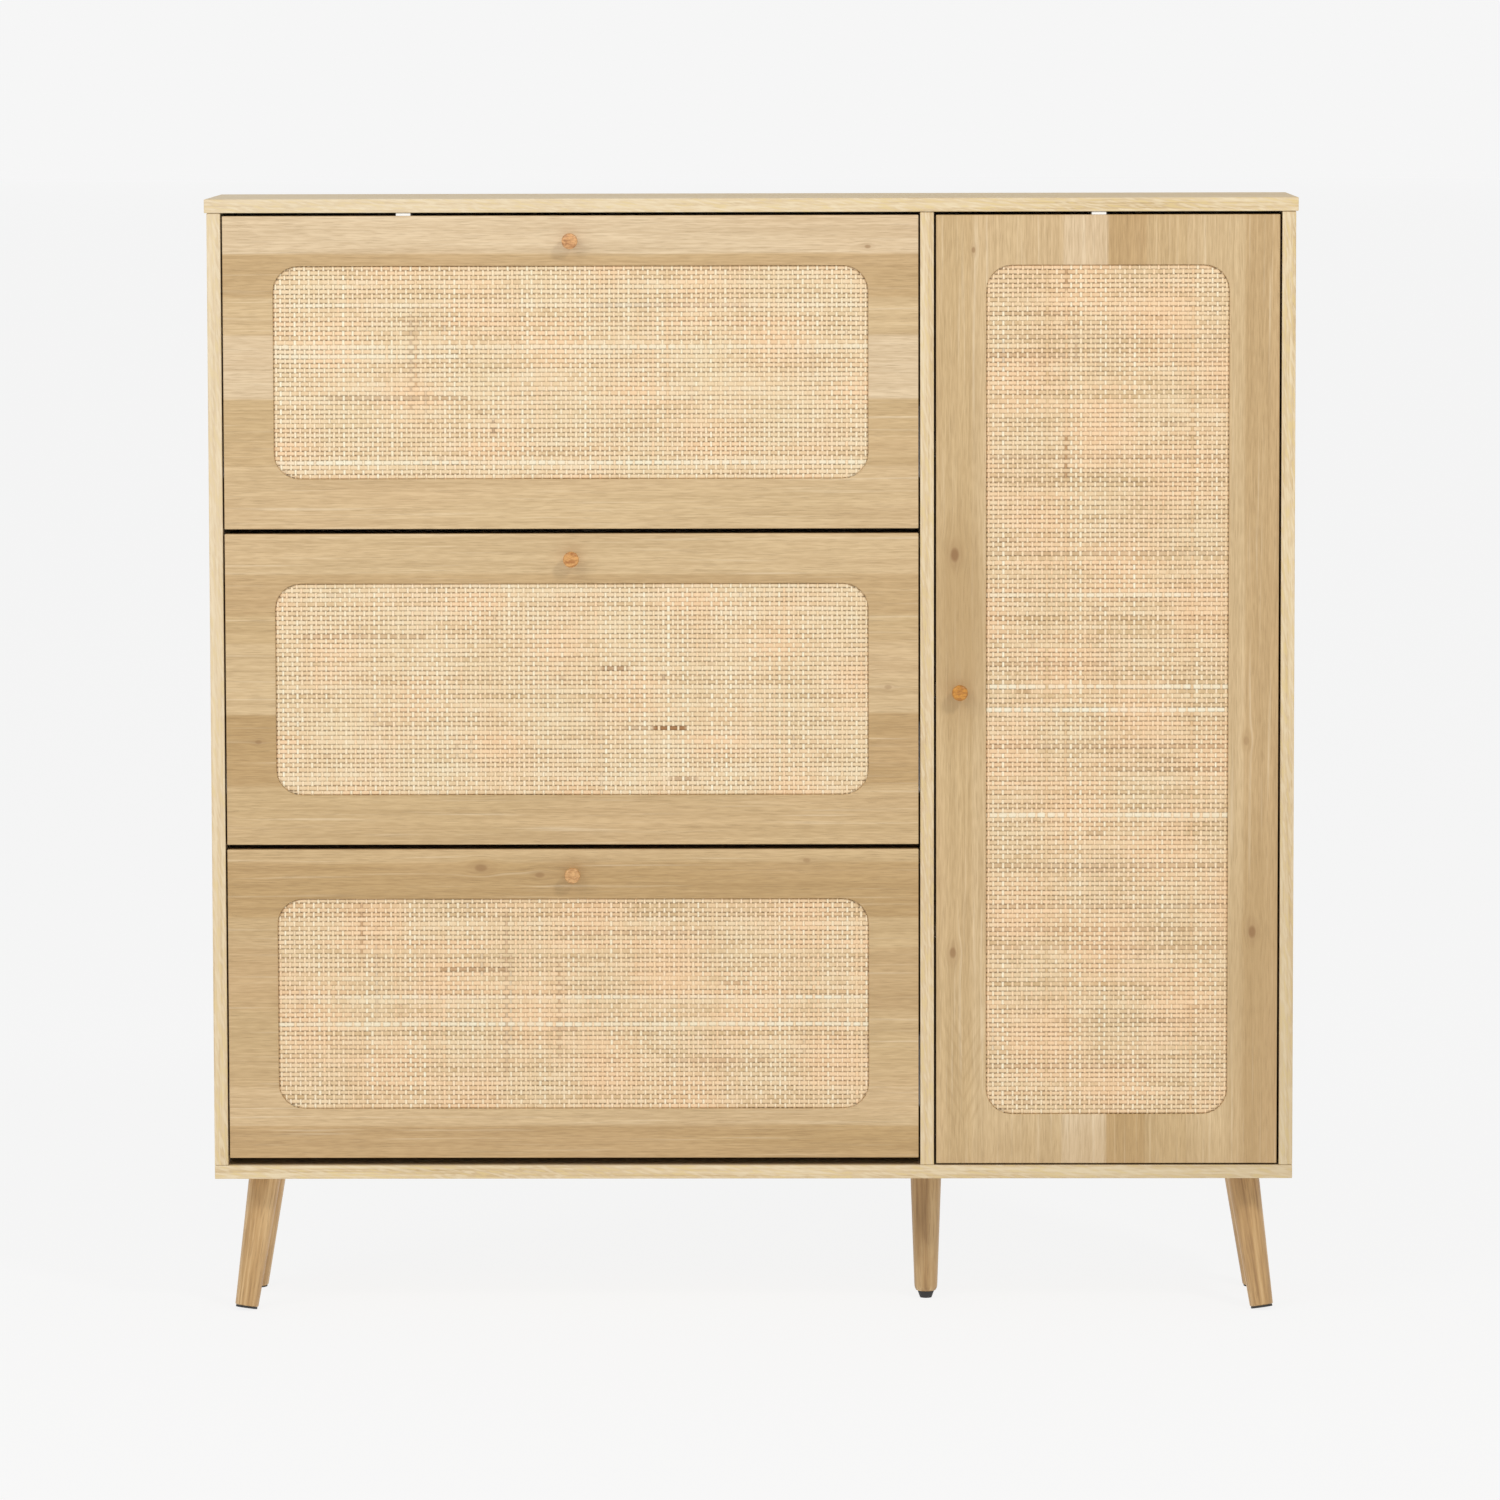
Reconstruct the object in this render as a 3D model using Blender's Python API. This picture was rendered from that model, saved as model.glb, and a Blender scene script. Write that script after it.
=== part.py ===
"""Shoe cabinet with cane panels: three tip-out shoe flaps on the left, a side-hung door on the right.

The carcass is flat boards. Each flap turns on two pins low down behind its frame and carries two shoe
racks between quadrant brackets; a peg in each bracket's arc slot stops it. The door hangs on its right.
Everything is in metres, +Z up, the front towards -Y, the floor at Z = 0 under the middle of the cabinet.
"""

import math

import bmesh
import bpy
from mathutils import Matrix, Vector

# Carcass
TOP_WIDTH = 1.200
TOP_OVERHANG = 0.0025  # past each side
TOP_NOSE = 0.002  # past the front edges
DEPTH = 0.240
BOARD = 0.015
DOOR_BAY = 0.382
LEG_HEIGHT = 0.153  # floor to the underside of the cabinet
BACK_SHEET = 0.003
BACK_SETBACK = 0.007  # from the rear edges to the back sheet
GROOVE_DEPTH = 0.005
EDGE_CHAMFER = 0.0006

# Clearances
TOUCH = 0.0003  # between pieces that rest on or against each other
SIDE_GAP = 0.002  # each side of a flap
DOOR_SIDE_GAP = 0.0025
DOOR_BOTTOM_GAP = 0.002
HEAD_GAP = 0.0036  # over the top flap and the door
FOOT_GAP = 0.0085  # under the lowest flap
SWING_CLEARANCE = 0.001  # under a flap's lower edge as it swings past the next flap

# Fronts
FLAPS = 3
FLAP_HEIGHT = 0.344
FRAME_RAIL = 0.055
WINDOW_RADIUS = 0.028
FRONT_CORNER_RADIUS = 0.001
FRONT_CHAMFER = 0.0007
LIP = 0.0065  # frame thickness in front of the panel's rebate
REBATE = 0.008
CANE_RECESS = 0.0035
PANEL_FLANGE = 0.003

# Knobs
KNOB_RADIUS = 0.00875
KNOB_NECK_RADIUS = 0.0062
KNOB_WAIST_RADIUS = 0.0056
KNOB_SHOULDER_RADIUS = 0.00795
KNOB_LENGTH = 0.020
KNOB_HEAD = 0.011
KNOB_FLARE = 0.002
KNOB_RIM = 0.0022
DOOR_KNOB_INSET = 0.026

# Tip-out gear
PIVOT_SETBACK = 0.0085  # behind the back of the frame
PIVOT_HEIGHT = 0.060  # above the flap's lower edge
OPEN_ANGLE = math.radians(50)
PIN_RADIUS = 0.0025
PEG_RADIUS = 0.003
PEG_ORBIT = 0.070  # peg's distance from the pivot
PEG_ANGLE = math.radians(80)  # above the line running back from the pivot, flap shut
PLATE_THICKNESS = 0.002
PLATE_MARGIN = 0.008
PLATE_TO_BRACKET = 0.001
PIN_SHORTFALL = 0.0005  # of the bracket's far face
BRACKET_THICKNESS = 0.006
BRACKET_FLANGE = 0.020
BRACKET_FLANGE_THICKNESS = 0.003
BRACKET_LIFT = 0.014  # lower edge above the flap's lower edge
HEADROOM = 0.059  # between the brackets' swing and the flap's top edge
RACK_BACK_ROOM = 0.015
RACK_REACH_SHARE = 0.9  # the most of the brackets' swing that the rack may fill
RACK_MARGIN = 0.006  # bracket left round the ends of the rack's boards
REAR_CORNER_RADIUS = 0.010

# Shoe racks
RACK_BOARD = 0.005
FRONT_POCKET = 0.085
FRONT_FLOOR_LIFT = 0.022
REAR_FLOOR_RISE = 0.040
DIVIDER_HEIGHT = 0.165

# Rails between the flaps, magnetic catches
RAIL_DEPTH = 0.060
RAIL_DROP = 0.003  # below the top edge of the flap it stands behind
CATCH_WIDTH = 0.016
CATCH_DEPTH = 0.028
CATCH_HEIGHT = 0.012
CATCH_STANDOFF = 0.0015
FLAP_CATCH_OFFSET = -0.183
DOOR_CATCH_OFFSET = -0.010

# Door gear and shelves
CUP_DEPTH = 0.0115
CUP_RADIUS = 0.0175
CUP_WALL = 0.0015
CUP_FLANGE_RADIUS = 0.021
CUP_FLANGE_THICKNESS = 0.0012
CUP_INSET = 0.0225
HINGE_FROM_END = 0.110
HINGE_ARM_WIDTH = 0.014
HINGE_ARM_CLEARANCE = 0.0008
HINGE_PLATE_FRONT = 0.036
HINGE_PLATE_LENGTH = 0.044
HINGE_ARM_THICKNESS = 0.0045
HINGE_CRANK = 0.012  # from the side to the arm's shank
HINGE_REAR_SLOPE = 0.010
HINGE_SHANK_THICKNESS = 0.008
HINGE_TIP_THICKNESS = 0.005
HINGE_TIP_REACH = 0.006  # past the cup's axis
SHELVES = 3
SHELF_SETBACK = 0.022
SHELF_SIDE_GAP = 0.001

# Legs
LEG_TOP_RADIUS = 0.0178
LEG_FOOT_RADIUS = 0.013
LEG_FOOT_CHAMFER = 0.001
LEG_INSET_X = 0.0515  # from the cabinet's side to the leg's axis at its top
LEG_INSET_Y = 0.062
SPLAY_X = math.radians(8)
SPLAY_Y = math.radians(8)
PAD_RADIUS = 0.012
PAD_THICKNESS = 0.0022
PAD_CRUSH = 0.0008  # height of the pad's low edge worn flat against the floor
GLIDE_HEIGHT = 0.0077
GLIDE_TOP_RADIUS = 0.0093
GLIDE_FOOT_RADIUS = 0.0065
GLIDE_STEM_RADIUS = 0.004
GLIDE_STEM_LENGTH = 0.025
GLIDE_BORE_SPARE = 0.006
CENTRE_LEG_END_RADIUS = 0.0100
CENTRE_LEG_ROUND = 0.008

# Smoothness of round shapes
ROUND_SIDES = 28
PIN_SIDES = 16
CORNER_STEPS = 6
KNOB_SIDES = 24
EDGE_STEPS = 4
SLOT_STEPS = 10
SLOT_END_STEPS = 6
SWEEP_STEPS = 16
PLATE_END_STEPS = 8

# Where everything comes to lie
BODY_WIDTH = TOP_WIDTH - 2 * TOP_OVERHANG
FRONT_Y = -(DEPTH - KNOB_LENGTH) / 2
REAR_Y = FRONT_Y + DEPTH
BACK_SHEET_Y = REAR_Y - BACK_SETBACK - BACK_SHEET
PIVOT_BEHIND_FRONT = BOARD + PIVOT_SETBACK
PIVOT_Y = FRONT_Y + PIVOT_BEHIND_FRONT
FLAP_GAP = math.hypot(PIVOT_BEHIND_FRONT, PIVOT_HEIGHT) - PIVOT_HEIGHT + SWING_CLEARANCE
INNER_HEIGHT = HEAD_GAP + FLAPS * FLAP_HEIGHT + (FLAPS - 1) * FLAP_GAP + FOOT_GAP
FLOOR_Z = LEG_HEIGHT + BOARD  # top of the bottom panel
CEILING_Z = FLOOR_Z + INNER_HEIGHT  # underside of the top panel
LEFT_X = -BODY_WIDTH / 2 + BOARD  # inner face of the left side
RIGHT_X = BODY_WIDTH / 2 - BOARD
DIVIDER_RIGHT_X = RIGHT_X - DOOR_BAY
DIVIDER_LEFT_X = DIVIDER_RIGHT_X - BOARD
DOOR_LEFT_X = DIVIDER_RIGHT_X + DOOR_SIDE_GAP
DOOR_RIGHT_X = RIGHT_X - DOOR_SIDE_GAP
DOOR_LOW_Z = FLOOR_Z + DOOR_BOTTOM_GAP
DOOR_HIGH_Z = CEILING_Z - HEAD_GAP
FLAP_LEFT_X = LEFT_X + SIDE_GAP
FLAP_RIGHT_X = DIVIDER_LEFT_X - SIDE_GAP
FLAP_MIDDLE_X = (FLAP_LEFT_X + FLAP_RIGHT_X) / 2
SWING_RADIUS = FLAP_HEIGHT - PIVOT_HEIGHT - HEADROOM
RACK_REACH = min(BACK_SHEET_Y - RACK_BACK_ROOM - PIVOT_Y, RACK_REACH_SHARE * SWING_RADIUS)


def material(name, colour, roughness, metallic=0.0):
    made = bpy.data.materials.new(name)
    made.use_nodes = True
    shader = made.node_tree.nodes["Principled BSDF"]
    shader.inputs["Base Color"].default_value = (*colour, 1.0)
    shader.inputs["Roughness"].default_value = roughness
    shader.inputs["Metallic"].default_value = metallic
    return made


def finish(name, mesh_data, surface, origin=(0, 0, 0), smooth=False):
    """Makes the named object from shapes given in world places, with its own origin moved to origin."""
    bmesh.ops.recalc_face_normals(mesh_data, faces=mesh_data.faces)
    bmesh.ops.transform(mesh_data, matrix=Matrix.Translation(-Vector(origin)), verts=mesh_data.verts)
    mesh = bpy.data.meshes.new(name)
    mesh_data.to_mesh(mesh)
    mesh_data.free()
    if smooth:
        mesh.shade_smooth()
        mesh.set_sharp_from_angle(angle=math.radians(35))
    made = bpy.data.objects.new(name, mesh)
    made.location = origin
    made.data.materials.append(surface)
    bpy.context.scene.collection.objects.link(made)
    return made


def chamfered(made, width=EDGE_CHAMFER):
    bevel = made.modifiers.new("eased edges", "BEVEL")
    bevel.width = width
    bevel.segments = 1
    bevel.limit_method = "ANGLE"
    bevel.angle_limit = math.radians(50)
    return made


def board(name, low, high, surface, origin=(0, 0, 0)):
    """A straight board between two opposite corners, its edges eased."""
    low, high = Vector(low), Vector(high)
    shape = bmesh.new()
    bmesh.ops.create_cube(shape, size=1.0)
    size = Matrix.Diagonal((*(high - low), 1.0))
    bmesh.ops.transform(shape, matrix=Matrix.Translation((low + high) / 2) @ size, verts=shape.verts)
    return chamfered(finish(name, shape, surface, origin))


def prism(name, outline, low_z, high_z, surface):
    """A board whose plan is the outline, a list of (x, y), from one height to another."""
    shape = bmesh.new()
    face = shape.faces.new([shape.verts.new((x, y, low_z)) for x, y in outline])
    raised = bmesh.ops.extrude_face_region(shape, geom=[face])["geom"]
    top = [part for part in raised if isinstance(part, bmesh.types.BMVert)]
    bmesh.ops.translate(shape, verts=top, vec=(0, 0, high_z - low_z))
    return chamfered(finish(name, shape, surface))


def skin(name, loops, surface, origin=(0, 0, 0), closed=False, smooth=False):
    """Joins loops of equally many points in turn; the ends are capped, or joined to each other if closed."""
    shape = bmesh.new()
    rings = [[shape.verts.new(point) for point in loop] for loop in loops]
    count = len(rings[0])
    pairs = list(zip(rings, rings[1:]))
    if closed:
        pairs.append((rings[-1], rings[0]))
    for ring, following in pairs:
        for i in range(count):
            j = (i + 1) % count
            shape.faces.new((ring[i], ring[j], following[j], following[i]))
    if not closed:
        shape.faces.new(rings[0])
        shape.faces.new(rings[-1])
    return finish(name, shape, surface, origin, smooth)


def rounded_loop(low, high, inset, radius, y):
    """A rectangle in the XZ plane at depth y, drawn in by inset, its corners turned with the radius."""
    left, bottom, right, top = low[0] + inset, low[1] + inset, high[0] - inset, high[1] - inset
    corners = ((right, top, 0), (left, top, 1), (left, bottom, 2), (right, bottom, 3))
    points = []
    for x, z, quarter in corners:
        centre_x = x - radius if quarter in (0, 3) else x + radius
        centre_z = z - radius if quarter in (0, 1) else z + radius
        for step in range(CORNER_STEPS + 1):
            angle = math.pi / 2 * (quarter + step / CORNER_STEPS)
            points.append((centre_x + radius * math.cos(angle), y, centre_z + radius * math.sin(angle)))
    return points


def turned(name, profile, place, surface, origin=(0, 0, 0), sides=ROUND_SIDES):
    """Turns a profile of (radius, height) points, one end on the axis or a closed ring, about Z, then places it."""
    shape = bmesh.new()
    points = [shape.verts.new((radius, 0, height)) for radius, height in profile]
    edges = [shape.edges.new(pair) for pair in zip(points, points[1:])]
    bmesh.ops.spin(
        shape,
        geom=points + edges,
        cent=(0, 0, 0),
        axis=(0, 0, 1),
        angle=2 * math.pi,
        steps=sides,
        use_merge=True,
    )
    bmesh.ops.remove_doubles(shape, verts=shape.verts, dist=1e-6)
    bmesh.ops.transform(shape, matrix=place, verts=shape.verts)
    return finish(name, shape, surface, origin, smooth=True)


def pulled(shape, faces, reach):
    """Extrudes faces along X by reach and returns the moved faces. The faces of an open sheet stay behind it."""
    on_solid = all(len(edge.link_faces) == 2 for face in faces for edge in face.edges)
    moved = bmesh.ops.extrude_face_region(shape, geom=faces)["geom"]
    if on_solid:
        bmesh.ops.delete(shape, geom=faces, context="FACES_ONLY")
    across = [part for part in moved if isinstance(part, bmesh.types.BMVert)]
    bmesh.ops.translate(shape, verts=across, vec=(reach, 0, 0))
    return [part for part in moved if isinstance(part, bmesh.types.BMFace)]


def arc(centre, radius, start, end, steps):
    """Points from one angle to another, as (y, z)."""
    angles = [start + (end - start) * step / steps for step in range(steps + 1)]
    return [(centre[0] + radius * math.cos(a), centre[1] + radius * math.sin(a)) for a in angles]


def filled(shape, loops):
    """Fills the first loop of (y, z) points less the others, in the plane X = 0, and returns its vertices."""
    rings = []
    edges = []
    for loop in loops:
        ring = [shape.verts.new((0, y, z)) for y, z in loop]
        edges += [shape.edges.new((a, b)) for a, b in zip(ring, ring[1:] + ring[:1])]
        rings.append(ring)
    bmesh.ops.triangle_fill(shape, use_beauty=True, edges=edges)
    return rings


for old in list(bpy.data.objects):
    bpy.data.objects.remove(old, do_unlink=True)

oak_face = material("oak_veneer", (0.62, 0.46, 0.28), 0.55)
oak_front = material("oak_front", (0.56, 0.38, 0.21), 0.55)
oak_leg = material("oak_leg", (0.48, 0.29, 0.13), 0.5)
knob_wood = material("knob_wood", (0.50, 0.22, 0.06), 0.45)
cane = material("woven_cane", (0.72, 0.56, 0.36), 0.7)
backing = material("back_sheet", (0.70, 0.62, 0.50), 0.6)
rack_wood = material("rack_board", (0.60, 0.50, 0.36), 0.6)
bracket_plastic = material("bracket_plastic", (0.12, 0.11, 0.10), 0.5)
white_plastic = material("white_plastic", (0.85, 0.83, 0.78), 0.4)
steel = material("steel", (0.62, 0.62, 0.64), 0.3, 1.0)
rubber = material("black_rubber", (0.03, 0.03, 0.03), 0.7)


# Carcass: top and bottom lie across the ends of the sides, and the divider stands between them.
board(
    "top_panel",
    (-TOP_WIDTH / 2, FRONT_Y - TOP_NOSE, CEILING_Z),
    (TOP_WIDTH / 2, REAR_Y, CEILING_Z + BOARD),
    oak_face,
)
board("bottom_panel", (-BODY_WIDTH / 2, FRONT_Y, LEG_HEIGHT), (BODY_WIDTH / 2, REAR_Y, FLOOR_Z), oak_face)


def side_outline(inner, away):
    """Plan of a side: BOARD thick from its inner face, away being -1 or 1, grooved for the back sheet."""
    outer = inner + away * BOARD
    groove = inner + away * GROOVE_DEPTH
    groove_front = BACK_SHEET_Y - TOUCH
    groove_back = BACK_SHEET_Y + BACK_SHEET + TOUCH
    return [
        (outer, FRONT_Y),
        (outer, REAR_Y),
        (inner, REAR_Y),
        (inner, groove_back),
        (groove, groove_back),
        (groove, groove_front),
        (inner, groove_front),
        (inner, FRONT_Y),
    ]


STAND_LOW = FLOOR_Z + TOUCH
STAND_HIGH = CEILING_Z - TOUCH
prism("left_side_panel", side_outline(LEFT_X, -1), STAND_LOW, STAND_HIGH, oak_face)
prism("right_side_panel", side_outline(RIGHT_X, 1), STAND_LOW, STAND_HIGH, oak_face)
board(
    "centre_divider",
    (DIVIDER_LEFT_X, FRONT_Y, STAND_LOW),
    (DIVIDER_RIGHT_X, BACK_SHEET_Y - TOUCH, STAND_HIGH),
    oak_face,
)
SHEET_REACH = GROOVE_DEPTH - TOUCH
board(
    "back_sheet",
    (LEFT_X - SHEET_REACH, BACK_SHEET_Y, STAND_LOW),
    (RIGHT_X + SHEET_REACH, BACK_SHEET_Y + BACK_SHEET, STAND_HIGH),
    backing,
)

# Rails between neighbouring flaps, just under the upper one's swing, with the catches under them.
flap_lows = [CEILING_Z - HEAD_GAP - FLAP_HEIGHT - n * (FLAP_HEIGHT + FLAP_GAP) for n in range(FLAPS)]
RAIL_FRONT_Y = FRONT_Y + BOARD + CATCH_STANDOFF
for n in range(1, FLAPS):
    rail_top = flap_lows[n] + FLAP_HEIGHT - RAIL_DROP
    board(
        f"flap_rail_{n}",
        (LEFT_X + TOUCH, RAIL_FRONT_Y, rail_top - BOARD),
        (DIVIDER_LEFT_X - TOUCH, RAIL_FRONT_Y + RAIL_DEPTH, rail_top),
        oak_face,
    )


def catch(name, middle_x):
    """A magnetic catch screwed under the top panel, just clear of the leaf's back."""
    top = CEILING_Z - TOUCH
    front = FRONT_Y + BOARD + CATCH_STANDOFF
    low = (middle_x - CATCH_WIDTH / 2, front, top - CATCH_HEIGHT)
    board(name, low, (middle_x + CATCH_WIDTH / 2, front + CATCH_DEPTH, top), white_plastic)


catch("flap_catch", FLAP_MIDDLE_X + FLAP_CATCH_OFFSET)
catch("door_catch", (DOOR_LEFT_X + DOOR_RIGHT_X) / 2 + DOOR_CATCH_OFFSET)

# Shelves behind the door, evenly spaced.
BAY_HEIGHT = (INNER_HEIGHT - SHELVES * BOARD) / (SHELVES + 1)
for n in range(SHELVES):
    shelf_low = FLOOR_Z + (n + 1) * BAY_HEIGHT + n * BOARD
    board(
        f"door_shelf_{n + 1}",
        (DIVIDER_RIGHT_X + SHELF_SIDE_GAP, FRONT_Y + SHELF_SETBACK, shelf_low),
        (RIGHT_X - SHELF_SIDE_GAP, BACK_SHEET_Y - TOUCH, shelf_low + BOARD),
        oak_face,
    )


def leaf_frame(name, low, high, origin):
    """A frame cut from one board: rounded window, and a rebate behind it for the cane panel."""
    rebate_inset = FRAME_RAIL - REBATE
    rebate_radius = WINDOW_RADIUS + REBATE
    back = FRONT_Y + BOARD
    loops = [
        rounded_loop(low, high, 0, FRONT_CORNER_RADIUS, back),
        rounded_loop(low, high, 0, FRONT_CORNER_RADIUS, FRONT_Y + FRONT_CHAMFER),
        rounded_loop(low, high, FRONT_CHAMFER, FRONT_CORNER_RADIUS, FRONT_Y),
        rounded_loop(low, high, FRAME_RAIL - FRONT_CHAMFER, WINDOW_RADIUS + FRONT_CHAMFER, FRONT_Y),
        rounded_loop(low, high, FRAME_RAIL, WINDOW_RADIUS, FRONT_Y + FRONT_CHAMFER),
        rounded_loop(low, high, FRAME_RAIL, WINDOW_RADIUS, FRONT_Y + LIP),
        rounded_loop(low, high, rebate_inset, rebate_radius, FRONT_Y + LIP),
        rounded_loop(low, high, rebate_inset, rebate_radius, back),
    ]
    return skin(name, loops, oak_front, origin, closed=True)


def cane_panel(name, low, high, origin):
    """Woven cane over a stepped backing: the field fills the window, the flange lies in the rebate."""
    field_inset = FRAME_RAIL + TOUCH
    field_radius = WINDOW_RADIUS - TOUCH
    flange_inset = FRAME_RAIL - REBATE + TOUCH
    flange_radius = WINDOW_RADIUS + REBATE - TOUCH
    step = FRONT_Y + LIP + TOUCH
    loops = [
        rounded_loop(low, high, field_inset, field_radius, FRONT_Y + CANE_RECESS),
        rounded_loop(low, high, field_inset, field_radius, step),
        rounded_loop(low, high, flange_inset, flange_radius, step),
        rounded_loop(low, high, flange_inset, flange_radius, step + PANEL_FLANGE),
    ]
    return skin(name, loops, cane, origin)


def knob(name, x, z, origin):
    """A turned knob standing on the front: a neck, a flared head and a softened rim."""
    head_z = KNOB_LENGTH - KNOB_HEAD
    profile = [
        (0, TOUCH),
        (KNOB_NECK_RADIUS, TOUCH),
        (KNOB_WAIST_RADIUS, head_z - KNOB_FLARE),
        (KNOB_SHOULDER_RADIUS, head_z + KNOB_FLARE),
        (KNOB_RADIUS, KNOB_LENGTH - KNOB_RIM * 2),
    ]
    for step in range(1, EDGE_STEPS + 1):
        angle = math.pi / 2 * step / EDGE_STEPS
        out = KNOB_RADIUS - KNOB_RIM + KNOB_RIM * math.cos(angle)
        profile.append((out, KNOB_LENGTH - KNOB_RIM + KNOB_RIM * math.sin(angle)))
    profile.append((0, KNOB_LENGTH))
    place = Matrix.Translation((x, FRONT_Y, z)) @ Matrix.Rotation(math.pi / 2, 4, "X")
    return turned(name, profile, place, knob_wood, origin, sides=KNOB_SIDES)


def slot_outline(centre, orbit, start, end, half_width):
    """An arc slot round the centre: outer arc, far end, inner arc, near end."""
    first = (centre[0] + orbit * math.cos(start), centre[1] + orbit * math.sin(start))
    last = (centre[0] + orbit * math.cos(end), centre[1] + orbit * math.sin(end))
    outer = arc(centre, orbit + half_width, start, end, SLOT_STEPS)
    far = arc(last, half_width, end, end + math.pi, SLOT_END_STEPS)[1:-1]
    inner = arc(centre, orbit - half_width, end, start, SLOT_STEPS)
    near = arc(first, half_width, start + math.pi, start + 2 * math.pi, SLOT_END_STEPS)[1:-1]
    return outer + far + inner + near


def bracket(name, low_z, outer_x, inward, origin):
    """A moulded quadrant bracket: a plate in the YZ plane and a flange along the back of the frame."""
    pivot = (PIVOT_Y, low_z + PIVOT_HEIGHT)
    flange_front = FRONT_Y + BOARD + TOUCH
    flange_back = flange_front + BRACKET_FLANGE_THICKNESS
    bottom = low_z + BRACKET_LIFT
    rear = PIVOT_Y + RACK_REACH
    rear_low = low_z + FRONT_FLOOR_LIFT + REAR_FLOOR_RISE - RACK_MARGIN
    floor_end = flange_back + FRONT_POCKET + RACK_BOARD
    top_angle = math.acos((flange_back - PIVOT_Y) / SWING_RADIUS)
    rear_angle = math.acos(RACK_REACH / SWING_RADIUS)
    corner = (rear - REAR_CORNER_RADIUS, rear_low + REAR_CORNER_RADIUS)
    outline = [(flange_back, bottom), (floor_end, bottom)]
    outline += arc(corner, REAR_CORNER_RADIUS, -math.pi / 3, 0, EDGE_STEPS)
    outline += arc(pivot, SWING_RADIUS, rear_angle, top_angle, SWEEP_STEPS)
    top = outline[-1][1]
    hole = arc(pivot, PIN_RADIUS + TOUCH, 2 * math.pi, 0, PIN_SIDES)[:-1]
    slot = slot_outline(pivot, PEG_ORBIT, PEG_ANGLE - OPEN_ANGLE, PEG_ANGLE, PEG_RADIUS + TOUCH)

    shape = bmesh.new()
    rings = filled(shape, [outline, hole, slot])
    flange_edge = [shape.verts.new((0, flange_front, bottom)), shape.verts.new((0, flange_front, top))]
    shape.faces.new((rings[0][0], flange_edge[0], flange_edge[1], rings[0][-1]))
    plate = pulled(shape, list(shape.faces), BRACKET_THICKNESS)
    strip = min(plate, key=lambda face: face.calc_center_median().y)
    pulled(shape, [strip], BRACKET_FLANGE)
    bmesh.ops.scale(shape, vec=(inward, 1, 1), verts=shape.verts)
    bmesh.ops.translate(shape, vec=(outer_x, 0, 0), verts=shape.verts)
    return finish(name, shape, bracket_plastic, origin)


def pivot_plate(name, low_z, wall_x, inward):
    """A steel plate on the cabinet's wall with the pivot pin and the stop peg standing on it."""
    pin = (PIVOT_Y, low_z + PIVOT_HEIGHT)
    peg = (pin[0] + PEG_ORBIT * math.cos(PEG_ANGLE), pin[1] + PEG_ORBIT * math.sin(PEG_ANGLE))
    reach = PLATE_TO_BRACKET + BRACKET_THICKNESS - PIN_SHORTFALL
    shape = bmesh.new()
    along = math.atan2(peg[1] - pin[1], peg[0] - pin[0])
    ends = arc(pin, PLATE_MARGIN, along + math.pi / 2, along + 3 * math.pi / 2, PLATE_END_STEPS)
    ends += arc(peg, PLATE_MARGIN, along - math.pi / 2, along + math.pi / 2, PLATE_END_STEPS)
    pin_ring = arc(pin, PIN_RADIUS, 2 * math.pi, 0, PIN_SIDES)[:-1]
    peg_ring = arc(peg, PEG_RADIUS, 2 * math.pi, 0, PIN_SIDES)[:-1]
    rings = filled(shape, [ends, pin_ring, peg_ring])
    for ring in rings[1:]:
        shape.faces.new(ring)
    plate = pulled(shape, list(shape.faces), PLATE_THICKNESS)
    for stud in [face for face in plate if len(face.verts) == PIN_SIDES]:
        pulled(shape, [stud], reach)
    bmesh.ops.scale(shape, vec=(inward, 1, 1), verts=shape.verts)
    bmesh.ops.translate(shape, vec=(wall_x, 0, 0), verts=shape.verts)
    return finish(name, shape, steel)


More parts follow.
